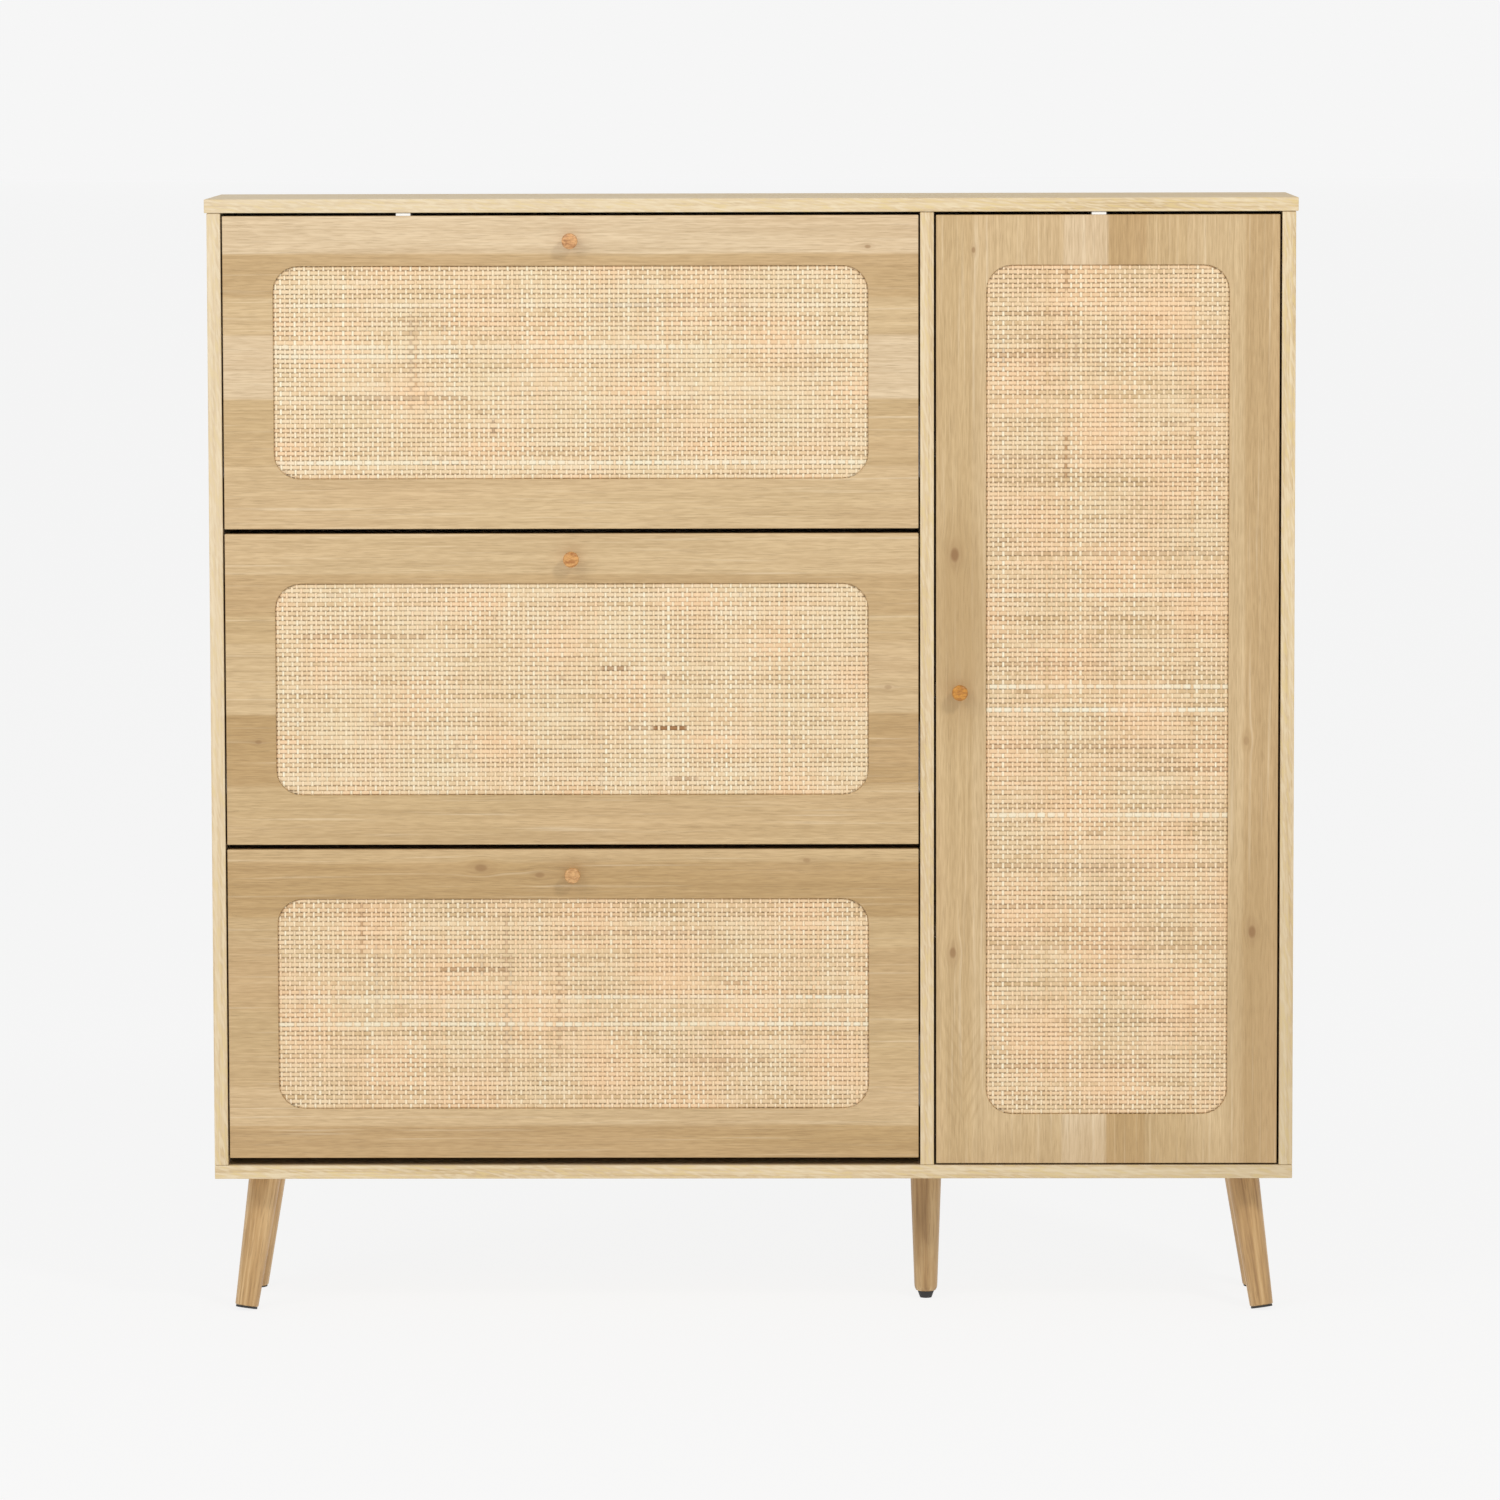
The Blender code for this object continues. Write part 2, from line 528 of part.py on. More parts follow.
# The flaps, numbered from the top: frame, cane, knob, two brackets and three rack boards turn on the pins.
BRACKET_STANDOFF = TOUCH + PLATE_THICKNESS + PLATE_TO_BRACKET
RACK_END = BRACKET_STANDOFF + BRACKET_THICKNESS + TOUCH
RACK_LEFT_X = LEFT_X + RACK_END
RACK_RIGHT_X = DIVIDER_LEFT_X - RACK_END
RACK_FRONT_Y = FRONT_Y + BOARD + TOUCH + BRACKET_FLANGE_THICKNESS + TOUCH
DIVIDER_Y = RACK_FRONT_Y + FRONT_POCKET
RACK_REAR_Y = PIVOT_Y + RACK_REACH - RACK_MARGIN
for n, low_z in enumerate(flap_lows, start=1):
    hub = (FLAP_MIDDLE_X, PIVOT_Y, low_z + PIVOT_HEIGHT)
    low = (FLAP_LEFT_X, low_z)
    high = (FLAP_RIGHT_X, low_z + FLAP_HEIGHT)
    floor_z = low_z + FRONT_FLOOR_LIFT
    rear_z = floor_z + REAR_FLOOR_RISE
    leaf_frame(f"flap_{n}_frame", low, high, hub)
    cane_panel(f"flap_{n}_cane_panel", low, high, hub)
    knob(f"flap_{n}_knob", FLAP_MIDDLE_X, high[1] - FRAME_RAIL / 2, hub)
    bracket(f"flap_{n}_bracket_left", low_z, LEFT_X + BRACKET_STANDOFF, 1, hub)
    bracket(f"flap_{n}_bracket_right", low_z, DIVIDER_LEFT_X - BRACKET_STANDOFF, -1, hub)
    pivot_plate(f"flap_{n}_pivot_left", low_z, LEFT_X + TOUCH, 1)
    pivot_plate(f"flap_{n}_pivot_right", low_z, DIVIDER_LEFT_X - TOUCH, -1)
    board(
        f"flap_{n}_rack_floor",
        (RACK_LEFT_X, RACK_FRONT_Y, floor_z),
        (RACK_RIGHT_X, DIVIDER_Y - TOUCH, floor_z + RACK_BOARD),
        rack_wood,
        hub,
    )
    board(
        f"flap_{n}_rack_divider",
        (RACK_LEFT_X, DIVIDER_Y, floor_z),
        (RACK_RIGHT_X, DIVIDER_Y + RACK_BOARD, floor_z + DIVIDER_HEIGHT),
        rack_wood,
        hub,
    )
    board(
        f"flap_{n}_rack_shelf",
        (RACK_LEFT_X, DIVIDER_Y + RACK_BOARD + TOUCH, rear_z),
        (RACK_RIGHT_X, RACK_REAR_Y, rear_z + RACK_BOARD),
        rack_wood,
        hub,
    )


# The door turns on its front right corner; its cups sit in pockets bored in the back of the frame.
door_low = (DOOR_LEFT_X, DOOR_LOW_Z)
door_high = (DOOR_RIGHT_X, DOOR_HIGH_Z)
door_axis = (DOOR_RIGHT_X, FRONT_Y, (DOOR_LOW_Z + DOOR_HIGH_Z) / 2)
CUP_X = DOOR_RIGHT_X - CUP_INSET
hinge_heights = [DOOR_LOW_Z + HINGE_FROM_END, DOOR_HIGH_Z - HINGE_FROM_END]
door_back = FRONT_Y + BOARD
door_frame = leaf_frame("door_frame", door_low, door_high, door_axis)
cane_panel("door_cane_panel", door_low, door_high, door_axis)
knob("door_knob", DOOR_LEFT_X + DOOR_KNOB_INSET, door_axis[2], door_axis)

pockets = bmesh.new()
for height in hinge_heights:
    place = Matrix.Translation((CUP_X, door_back, height)) @ Matrix.Rotation(math.pi / 2, 4, "X")
    bmesh.ops.create_cone(
        pockets,
        cap_ends=True,
        segments=ROUND_SIDES,
        radius1=CUP_RADIUS + TOUCH,
        radius2=CUP_RADIUS + TOUCH,
        depth=2 * (CUP_DEPTH + TOUCH),
        matrix=place,
    )
pocket_cutter = finish("hinge_pocket_cutter", pockets, steel, door_axis)
pocket_cutter.hide_render = True
pocket_cutter.display_type = "WIRE"
bore = door_frame.modifiers.new("hinge pockets", "BOOLEAN")
bore.operation = "DIFFERENCE"
bore.object = pocket_cutter


def hinge_cup(name, height):
    """A pressed steel cup let into the door, open to the back, with a round flange on the door's face."""
    profile = [
        (0, -CUP_DEPTH),
        (CUP_RADIUS, -CUP_DEPTH),
        (CUP_RADIUS, TOUCH),
        (CUP_FLANGE_RADIUS, TOUCH),
        (CUP_FLANGE_RADIUS, TOUCH + CUP_FLANGE_THICKNESS),
        (CUP_RADIUS - CUP_WALL, TOUCH + CUP_FLANGE_THICKNESS),
        (CUP_RADIUS - CUP_WALL, -CUP_DEPTH + CUP_WALL),
        (0, -CUP_DEPTH + CUP_WALL),
    ]
    place = Matrix.Translation((CUP_X, door_back, height)) @ Matrix.Rotation(-math.pi / 2, 4, "X")
    return turned(name, profile, place, steel, door_axis)


def hinge_arm(name, height):
    """A cranked arm on a plate screwed to the side, its tip reaching over the cup, clear of the door."""
    wall = RIGHT_X - TOUCH
    front = FRONT_Y + HINGE_PLATE_FRONT
    rear = front + HINGE_PLATE_LENGTH
    tip = door_back + TOUCH + CUP_FLANGE_THICKNESS + HINGE_ARM_CLEARANCE
    shank = wall - HINGE_CRANK
    outline = [
        (wall, front),
        (wall, rear),
        (wall - HINGE_ARM_THICKNESS, rear),
        (shank - HINGE_ARM_THICKNESS, rear - HINGE_REAR_SLOPE),
        (shank - HINGE_ARM_THICKNESS, tip + HINGE_SHANK_THICKNESS),
        (CUP_X - HINGE_TIP_REACH, tip + HINGE_TIP_THICKNESS),
        (CUP_X - HINGE_TIP_REACH, tip),
        (shank, tip),
        (shank, front),
    ]
    return prism(name, outline, height - HINGE_ARM_WIDTH / 2, height + HINGE_ARM_WIDTH / 2, steel)


for n, height in enumerate(hinge_heights, start=1):
    hinge_cup(f"door_hinge_cup_{n}", height)
    hinge_arm(f"door_hinge_arm_{n}", height)


# Corner legs lean out both ways; each ends square to its own axis on a thin pad worn flat at its low edge.
LEG_SLOPE = Vector((math.tan(SPLAY_X), math.tan(SPLAY_Y)))
TILT = math.atan(LEG_SLOPE.length)
LEG_TOP_Z = LEG_HEIGHT - TOUCH - LEG_TOP_RADIUS * math.sin(TILT)
PAD_FOOT_Z = PAD_RADIUS * math.sin(TILT) - PAD_CRUSH
LEG_LENGTH = (LEG_TOP_Z - PAD_FOOT_Z) / math.cos(TILT) - PAD_THICKNESS - TOUCH
for side, away_x in (("left", -1), ("right", 1)):
    for end, away_y in (("front", -1), ("rear", 1)):
        lean = Vector((away_x * LEG_SLOPE.x, away_y * LEG_SLOPE.y, -1)).normalized()
        top_x = away_x * (BODY_WIDTH / 2 - LEG_INSET_X)
        top_y = (FRONT_Y + LEG_INSET_Y) if end == "front" else (REAR_Y - LEG_INSET_Y)
        turn = lean.to_track_quat("-Z", "Y").to_matrix().to_4x4()
        place = Matrix.Translation((top_x, top_y, LEG_TOP_Z)) @ turn
        leg_profile = [
            (0, 0),
            (LEG_TOP_RADIUS, 0),
            (LEG_FOOT_RADIUS, -LEG_LENGTH + LEG_FOOT_CHAMFER),
            (LEG_FOOT_RADIUS - LEG_FOOT_CHAMFER, -LEG_LENGTH),
            (0, -LEG_LENGTH),
        ]
        turned(f"leg_{end}_{side}", leg_profile, place, oak_leg)
        pad_top = -LEG_LENGTH - TOUCH
        pad_profile = [
            (0, pad_top),
            (PAD_RADIUS, pad_top),
            (PAD_RADIUS, pad_top - PAD_THICKNESS),
            (0, pad_top - PAD_THICKNESS),
        ]
        pad = turned(f"pad_{end}_{side}", pad_profile, place, rubber)
        worn = bmesh.new()
        worn.from_mesh(pad.data)
        parts = list(worn.verts) + list(worn.edges) + list(worn.faces)
        cut = bmesh.ops.bisect_plane(worn, geom=parts, plane_co=(0, 0, 0), plane_no=(0, 0, -1), clear_outer=True)
        rim = [part for part in cut["geom_cut"] if isinstance(part, bmesh.types.BMEdge)]
        bmesh.ops.contextual_create(worn, geom=rim)
        bmesh.ops.recalc_face_normals(worn, faces=worn.faces)
        worn.to_mesh(pad.data)
        worn.free()

# The middle leg stands straight under the divider; its screw glide turns down out of a bore in its end.
MIDDLE_X = (DIVIDER_LEFT_X + DIVIDER_RIGHT_X) / 2
MIDDLE_Y = (FRONT_Y + REAR_Y) / 2
under_divider = Matrix.Translation((MIDDLE_X, MIDDLE_Y, 0))
bore_radius = GLIDE_STEM_RADIUS + TOUCH
bore_top = GLIDE_HEIGHT + GLIDE_STEM_LENGTH + GLIDE_BORE_SPARE
leg_end = GLIDE_HEIGHT + TOUCH
middle_profile = [(0, LEG_HEIGHT - TOUCH), (LEG_TOP_RADIUS, LEG_HEIGHT - TOUCH)]
for step in range(EDGE_STEPS + 1):
    angle = math.pi / 2 * step / EDGE_STEPS
    out = CENTRE_LEG_END_RADIUS + (LEG_FOOT_RADIUS - CENTRE_LEG_END_RADIUS) * math.cos(angle)
    middle_profile.append((out, leg_end + CENTRE_LEG_ROUND * (1 - math.sin(angle))))
middle_profile += [(bore_radius, leg_end), (bore_radius, bore_top), (0, bore_top)]
turned("centre_leg", middle_profile, under_divider, oak_leg)
glide_profile = [
    (0, 0),
    (GLIDE_FOOT_RADIUS, 0),
    (GLIDE_TOP_RADIUS, GLIDE_HEIGHT),
    (GLIDE_STEM_RADIUS, GLIDE_HEIGHT),
    (GLIDE_STEM_RADIUS, GLIDE_HEIGHT + GLIDE_STEM_LENGTH),
    (0, GLIDE_HEIGHT + GLIDE_STEM_LENGTH),
]
turned("centre_glide", glide_profile, under_divider, rubber, (MIDDLE_X, MIDDLE_Y, 0))
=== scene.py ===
import math

import bmesh
import bpy
import numpy as np
from mathutils import Matrix, Vector


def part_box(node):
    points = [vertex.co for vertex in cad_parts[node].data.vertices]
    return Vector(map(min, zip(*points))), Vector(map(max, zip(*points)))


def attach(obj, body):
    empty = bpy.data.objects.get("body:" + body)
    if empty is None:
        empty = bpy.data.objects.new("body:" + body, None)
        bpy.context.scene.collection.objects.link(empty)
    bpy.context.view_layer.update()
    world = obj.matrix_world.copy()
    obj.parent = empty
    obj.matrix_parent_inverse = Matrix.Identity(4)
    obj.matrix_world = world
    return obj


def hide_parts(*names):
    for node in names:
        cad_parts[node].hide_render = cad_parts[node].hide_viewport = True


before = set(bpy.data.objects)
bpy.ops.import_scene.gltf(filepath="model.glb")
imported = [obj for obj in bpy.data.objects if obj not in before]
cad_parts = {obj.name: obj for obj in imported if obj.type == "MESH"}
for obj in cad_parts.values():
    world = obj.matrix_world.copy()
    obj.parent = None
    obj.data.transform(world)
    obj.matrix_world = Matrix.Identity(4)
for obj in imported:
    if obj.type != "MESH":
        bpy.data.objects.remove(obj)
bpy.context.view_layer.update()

# Studio: a pale floor that runs back out of sight, a soft light high on the right, a larger and nearer one
# on the left, and even light from all round. The camera stands well back, a little above the cabinet.
CAMERA_PLACE = (0.0877, -8.5723, 1.4356)
CAMERA_PITCH = 5.434  # degrees below the level
CAMERA_YAW = 0.597
CAMERA_ROLL = 0.134
LENS = 184.9
SENSOR = 36.0
FARTHEST = 100
PALE = 0.922
GLOW = 0.945
GLOW_SHARE = 0.9
FLOOR_REACH = 60.0
FLOOR_EDGE = 9.0
ROOM_GREY = (0.60, 0.60, 0.60)
KEY_LIGHT = {
    "place": (3.1, -5.0, 4.8),
    "aim": (-0.1, 0, 0.9),
    "size": 0.9,
    "power": 122,
    "colour": (1.0, 0.975, 0.940),
}
SIDE_LIGHT = {
    "place": (-2.6, -3.6, 3.6),
    "aim": (-0.4, 0, 1.1),
    "size": 2.6,
    "power": 66,
    "colour": (1.0, 0.990, 0.985),
}


def place_camera():
    camera = bpy.data.objects.new("camera", bpy.data.cameras.new("camera"))
    camera.data.sensor_width = SENSOR
    camera.data.lens = LENS
    camera.data.clip_end = FARTHEST
    camera.location = CAMERA_PLACE
    angles = (90 - CAMERA_PITCH, CAMERA_ROLL, CAMERA_YAW)
    camera.rotation_euler = [math.radians(angle) for angle in angles]
    bpy.context.scene.collection.objects.link(camera)
    bpy.context.scene.camera = camera


def softbox(name, place, aim, size, power, colour):
    """A square lamp facing the aim."""
    lamp = bpy.data.lights.new(name, "AREA")
    lamp.size = size
    lamp.energy = power
    lamp.color = colour
    holder = bpy.data.objects.new(name, lamp)
    holder.location = place
    holder.rotation_euler = (Vector(aim) - Vector(place)).to_track_quat("-Z", "Y").to_euler()
    bpy.context.scene.collection.objects.link(holder)


class Flow:
    """One value or colour on its way through a finish. Sums and products of flows add Math nodes."""

    def __init__(self, finish, socket):
        self.finish = finish
        self.socket = socket

    def maths(self, operation, *others):
        return self.finish.node("ShaderNodeMath", {"operation": operation}, [self, *others])

    def __add__(self, other):
        return self.maths("ADD", other)

    def __sub__(self, other):
        return self.maths("SUBTRACT", other)

    def __rsub__(self, other):
        return self.finish.node("ShaderNodeMath", {"operation": "SUBTRACT"}, [other, self])

    def __mul__(self, other):
        return self.maths("MULTIPLY", other)

    def __truediv__(self, other):
        return self.maths("DIVIDE", other)

    __radd__ = __add__
    __rmul__ = __mul__

    def clamped(self):
        return self.finish.node("ShaderNodeClamp", {}, {"Value": self})

    def between(self, start, end, low=0.0, high=1.0):
        """Goes smoothly from low to high as this value goes from start to end."""
        sockets = {"Value": self, "From Min": start, "From Max": end, "To Min": low, "To Max": high}
        return self.finish.node("ShaderNodeMapRange", {"interpolation_type": "SMOOTHSTEP"}, sockets)


class Finish:
    """A procedural material: node() adds any node, set() and feed() fill the main shader's sockets."""

    def __init__(self, name, roughness=0.5, metallic=0.0, specular=0.5):
        self.material = bpy.data.materials.new(name)
        self.material.use_nodes = True
        self.tree = self.material.node_tree
        self.shader = self.tree.nodes["Principled BSDF"]
        self.set("Roughness", roughness)
        self.set("Metallic", metallic)
        self.set("Specular IOR Level", specular)

    def set(self, socket, value):
        self.shader.inputs[socket].default_value = value

    def feed(self, socket, flow):
        self.tree.links.new(flow.socket, self.shader.inputs[socket])

    def node(self, kind, settings, sockets, output=0):
        """Adds a node: its settings first, then its sockets' links or values, by place or by name."""
        made = self.tree.nodes.new(kind)
        for key, value in settings.items():
            if key == "stops":
                self.fill_ramp(made.color_ramp, value)
            else:
                setattr(made, key, value)
        pairs = sockets.items() if isinstance(sockets, dict) else enumerate(sockets)
        for key, value in pairs:
            if isinstance(value, Flow):
                self.tree.links.new(value.socket, made.inputs[key])
            else:
                made.inputs[key].default_value = value
        return Flow(self, made.outputs[output])

    def fill_ramp(self, ramp, stops):
        while len(ramp.elements) < len(stops):
            ramp.elements.new(0.5)
        for element, (place, colour) in zip(ramp.elements, stops):
            element.position = place
            element.color = (*colour, 1.0)

    def place(self):
        """Where a point is on the cabinet, in metres."""
        return self.node("ShaderNodeTexCoord", {}, {}, "Object")

    def parts(self, vector):
        """The three parts of a vector."""
        split = self.node("ShaderNodeSeparateXYZ", {}, [vector]).socket.node
        return [Flow(self, output) for output in split.outputs]

    def joined(self, x, y, z):
        return self.node("ShaderNodeCombineXYZ", {}, [x, y, z])

    def scaled(self, vector, scale, shift=(0.0, 0.0, 0.0)):
        sockets = {"Vector": vector, "Scale": scale, "Location": shift}
        return self.node("ShaderNodeMapping", {}, sockets)

    def noise(self, vector, detail=2.0, roughness=0.5, distortion=0.0):
        sockets = {"Vector": vector, "Scale": 1.0, "Detail": detail}
        sockets.update({"Roughness": roughness, "Distortion": distortion})
        return self.node("ShaderNodeTexNoise", {}, sockets)

    def ramp(self, value, stops):
        return self.node("ShaderNodeValToRGB", {"stops": stops}, [value])

    def mixed(self, amount, first, second, how="MIX"):
        """One colour mixed into, or multiplied with, another."""
        first, second = [tint if isinstance(tint, Flow) else (*tint, 1.0) for tint in (first, second)]
        # a Mix node has its colours' sockets at 6 and 7, and its mixed colour at 2
        settings = {"data_type": "RGBA", "blend_type": how}
        return self.node("ShaderNodeMix", settings, {0: amount, 6: first, 7: second}, 2)

    def relief(self, height, depth, strength=1.0):
        """Bumps the surface by a height from 0 to 1, depth metres high."""
        sockets = {"Strength": strength, "Distance": depth, "Height": height}
        self.feed("Normal", self.node("ShaderNodeBump", {}, sockets))


def floor_finish():
    """Pale paper: mostly its own even brightness, with a faint soft shadow."""
    finish = Finish("floor paper")
    matt = finish.node("ShaderNodeBsdfDiffuse", {}, {"Color": (PALE, PALE, PALE, 1)})
    glow = finish.node("ShaderNodeEmission", {}, {"Color": (GLOW, GLOW, GLOW, 1)})
    both = finish.node("ShaderNodeMixShader", {}, [GLOW_SHARE, matt, glow])
    finish.tree.nodes.remove(finish.shader)
    finish.tree.links.new(both.socket, finish.tree.nodes["Material Output"].inputs["Surface"])
    return finish.material


def lay_floor():
    """A wide sheet with a low edge turned up far away on all four sides, to stand above the horizon."""
    square = [(x * FLOOR_REACH, y * FLOOR_REACH) for x, y in ((-1, -1), (1, -1), (1, 1), (-1, 1))]
    corners = [(x, y, z) for z in (0, FLOOR_EDGE) for x, y in square]
    sides = [(n, (n + 1) % 4, 4 + (n + 1) % 4, 4 + n) for n in range(4)]
    mesh = bpy.data.meshes.new("floor")
    mesh.from_pydata(corners, [], [(0, 1, 2, 3)] + sides)
    mesh.materials.append(floor_finish())
    floor = bpy.data.objects.new("floor", mesh)
    bpy.context.scene.collection.objects.link(floor)


def light_room():
    world = bpy.data.worlds.new("room")
    world.use_nodes = True
    world.node_tree.nodes["Background"].inputs["Color"].default_value = (*ROOM_GREY, 1)
    bpy.context.scene.world = world
    softbox("key light", **KEY_LIGHT)
    softbox("side light", **SIDE_LIGHT)


place_camera()
light_room()
lay_floor()
bpy.context.scene.view_settings.view_transform = "Standard"


# Carcass boards: particle board faced and edged with a pale oak print, matt lacquered. Top and bottom lie
# over the ends of the sides, so their grain runs across and that of the sides and divider runs up.
CARCASS_DARK = (0.50, 0.345, 0.165)
CARCASS_MIDDLE = (0.685, 0.535, 0.325)
CARCASS_LIGHT = (0.81, 0.69, 0.47)
STREAK_YELLOW = (0.72, 0.56, 0.25)
CARCASS_PAINTED_LIGHT = (0.78, 0.69, 0.54)  # painted light, towards the upper left
CARCASS_PAINTED_SHADE = (0.42, 0.315, 0.175)  # painted shade, towards the lower right
STREAK_SLANT = 0.16
PORE_BROWN = (0.46, 0.31, 0.15)
CLOUD_TINT = (0.68, 0.49, 0.31)
# each kind of grain: how quickly its noise changes along the grain and across it
DRIFT_SCALE = (1.3, 9)
LINE_SCALE = (2.2, 120)
FINE_SCALE = (9, 520)
PORE_SCALE = (38, 1150)
DRIFT_REACH = 0.012
GRAIN_AXES = {"across": 0, "up": 2}


def paint(node_names, finish):
    """Gives the frame's own parts a finish."""
    for name in node_names:
        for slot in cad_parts[name].material_slots:
            slot.link = "OBJECT"
            slot.material = finish.material


def along_grain(run, along, across):
    """Scales for a vector: slow along the grain, quick the other two ways."""
    scale = [across, across, across]
    scale[GRAIN_AXES[run]] = along
    return scale


def grain(finish, where, run, shift=0.0):
    """Oak grain from 0 to 1: growth lines, finer lines, and short dark pores.

    Each is noise stretched along the grain; the growth lines are bent by a slower noise.
    """
    shifts = (shift, 0.37 * shift, 0.71 * shift)
    drift = finish.noise(finish.scaled(where, along_grain(run, *DRIFT_SCALE), shifts), 1.0)
    bent = finish.node("ShaderNodeVectorMath", {"operation": "ADD"}, [where, sideways(finish, drift, run)])
    lines = finish.noise(finish.scaled(bent, along_grain(run, *LINE_SCALE), shifts), 3.0, 0.62)
    fine = finish.noise(finish.scaled(bent, along_grain(run, *FINE_SCALE), shifts), 2.0, 0.6)
    pores = finish.noise(finish.scaled(bent, along_grain(run, *PORE_SCALE), shifts), 1.0)
    return lines, fine, pores.between(0.60, 0.72)


def sideways(finish, drift, run):
    """A small push across the grain that grows with the drift."""
    push = (drift - 0.5) * DRIFT_REACH
    return finish.joined(*([0.0, push, push] if run == "across" else [push, push, 0.0]))


def carcass_oak(name, run, shift):
    finish = Finish(name, roughness=0.52, specular=0.4)
    where = finish.place()
    lines, fine, pores = grain(finish, where, run, shift)
    tone = lines * 0.55 + fine * 0.45
    colour = finish.ramp(tone, [(0.30, CARCASS_DARK), (0.50, CARCASS_MIDDLE), (0.70, CARCASS_LIGHT)])
    colour = finish.mixed(pores * 0.28, colour, PORE_BROWN)
    x, y, z = finish.parts(where)
    if run == "across":
        slanted = finish.joined(x, y, z + x * STREAK_SLANT)
    else:
        slanted = finish.joined(x + z * STREAK_SLANT, y, z)
    streaks = finish.noise(finish.scaled(slanted, along_grain(run, 60, 430), (shift, 0, shift)), 1.0)
    colour = finish.mixed(streaks.between(0.52, 0.66) * 0.55, colour, STREAK_YELLOW)
    colour = finish.mixed(streaks.between(0.50, 0.34) * 0.50, colour, CARCASS_LIGHT)
    cloud = finish.noise(finish.scaled(where, along_grain(run, 1.1, 14)), 1.0)
    colour = finish.mixed(cloud.between(0.35, 0.75) * 0.22, colour, CLOUD_TINT)
    # Painted light and shade: paler towards the upper left and deeper towards the lower right, where the
    # light falls off across the cabinet.
    light_falloff = x * 0.7 - z * 0.6
    colour = finish.mixed(light_falloff.between(-1.15, -0.45, 0.24, 0.0), colour, CARCASS_PAINTED_LIGHT)
    colour = finish.mixed(light_falloff.between(-0.10, 0.35, 0.0, 0.34), colour, CARCASS_PAINTED_SHADE)
    finish.feed("Base Color", colour)
    finish.feed("Roughness", 0.58 - fine * 0.14)
    finish.relief(fine - pores * 0.6, 0.00012)
    return finish


paint(["top_panel"], carcass_oak("carcass oak top", "across", 1.7))
paint(["bottom_panel"], carcass_oak("carcass oak bottom", "across", 5.2))
paint(["left_side_panel"], carcass_oak("carcass oak left", "up", 2.9))
paint(["right_side_panel"], carcass_oak("carcass oak right", "up", 8.3))
paint(["centre_divider"], carcass_oak("carcass oak divider", "up", 11.6))


# Rails and shelves: the same faced board. The shelves lie loose on steel pins pushed into holes in the
# divider and the right side; the rails are dowelled between the left side and the divider.
PIN_RADIUS = 0.0025
PIN_REACH = 0.008
PIN_HEAD = 0.0035
PIN_HEAD_THICKNESS = 0.0012
PIN_CHAMFER = 0.0004
PIN_GAP = 0.0006  # under the shelf
PIN_INSET = 0.030  # from the shelf's long edges
SHELF_END_GAP = 0.001
RAILS = ["flap_rail_1", "flap_rail_2"]
SHELVES = ["door_shelf_1", "door_shelf_2", "door_shelf_3"]
paint(RAILS + SHELVES, carcass_oak("shelf oak", "across", 14.1))


def put(name, shape, finish, body):
    """Makes a piece of a shape: its points, four-cornered faces and end faces of any number of corners.
    Points that fall together are merged, so that poles and corners close."""
    points, quads, ends = shape
    mesh = bpy.data.meshes.new(name)
    faces = np.asarray(quads).reshape(-1, 4).tolist() + [list(face) for face in ends]
    mesh.from_pydata(np.asarray(points, float).reshape(-1, 3).tolist(), [], faces)
    welded = bmesh.new()
    welded.from_mesh(mesh)
    bmesh.ops.remove_doubles(welded, verts=welded.verts, dist=1e-6)
    bmesh.ops.recalc_face_normals(welded, faces=welded.faces)
    welded.to_mesh(mesh)
    welded.free()
    mesh.shade_smooth()
    mesh.set_sharp_from_angle(angle=math.radians(40))
    mesh.materials.append(finish.material)
    made = bpy.data.objects.new(name, mesh)
    bpy.context.scene.collection.objects.link(made)
    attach(made, body)
    return made


def turned(profile, sides):
    """A profile of (radius, height) carried round the Z axis: the point at (i, a) stands at the profile's
    radius i, turned by the angle a. Returns its points, its side faces and its two flat end faces."""
    radius, height = np.asarray(profile, float).T
    angle = np.arange(sides) * 2 * np.pi / sides
    across = radius[:, None] * np.cos(angle)
    deep = radius[:, None] * np.sin(angle)
    up = np.broadcast_to(height[:, None], across.shape)
    points = np.stack([across, deep, up], axis=-1).reshape(-1, 3)
    ring = np.arange(sides)
    after = (ring + 1) % sides
    row = np.arange(len(radius) - 1)[:, None] * sides
    quads = np.stack([row + ring, row + after, row + sides + after, row + sides + ring], axis=-1)
    last = (len(radius) - 1) * sides
    ends = [ring[::-1].tolist(), (last + ring).tolist()]
    return points, quads.reshape(-1, 4), ends


def copied(shape, places):
    """A shape repeated at each place, a 4 by 4 matrix: all points are the shape's, turned and moved."""
    points, quads, ends = shape
    matrices = np.array([np.array(place) for place in places])
    moved = np.einsum("nij,pj->npi", matrices[:, :3, :3], points) + matrices[:, None, :3, 3]
    step = np.arange(len(places))[:, None, None] * len(points)
    all_ends = [[corner + n * len(points) for corner in end] for n in range(len(places)) for end in ends]
    return moved.reshape(-1, 3), (quads[None] + step).reshape(-1, 4), all_ends


def facing(place, direction):
    """A matrix that stands a turned shape at a place with its axis along the direction."""
    turn = Vector(direction).to_track_quat("Z", "Y").to_matrix().to_4x4()
    return Matrix.Translation(place) @ turn


def steel_finish(name, colour=(0.62, 0.61, 0.60), roughness=0.32):
    """Nickel plated steel: a brushed sheen and faint handling marks."""
    finish = Finish(name, roughness=roughness, metallic=1.0)
    where = finish.place()
    marks = finish.noise(finish.scaled(where, (900, 900, 140)), 2.0)
    smudges = finish.noise(finish.scaled(where, (60, 60, 60)), 2.0)
    finish.feed("Base Color", finish.mixed(smudges * 0.35, colour, [0.82 * part for part in colour]))
    finish.feed("Roughness", roughness - 0.08 + marks * 0.12 + smudges * 0.06)
    finish.relief(marks, 0.00002)
    return finish


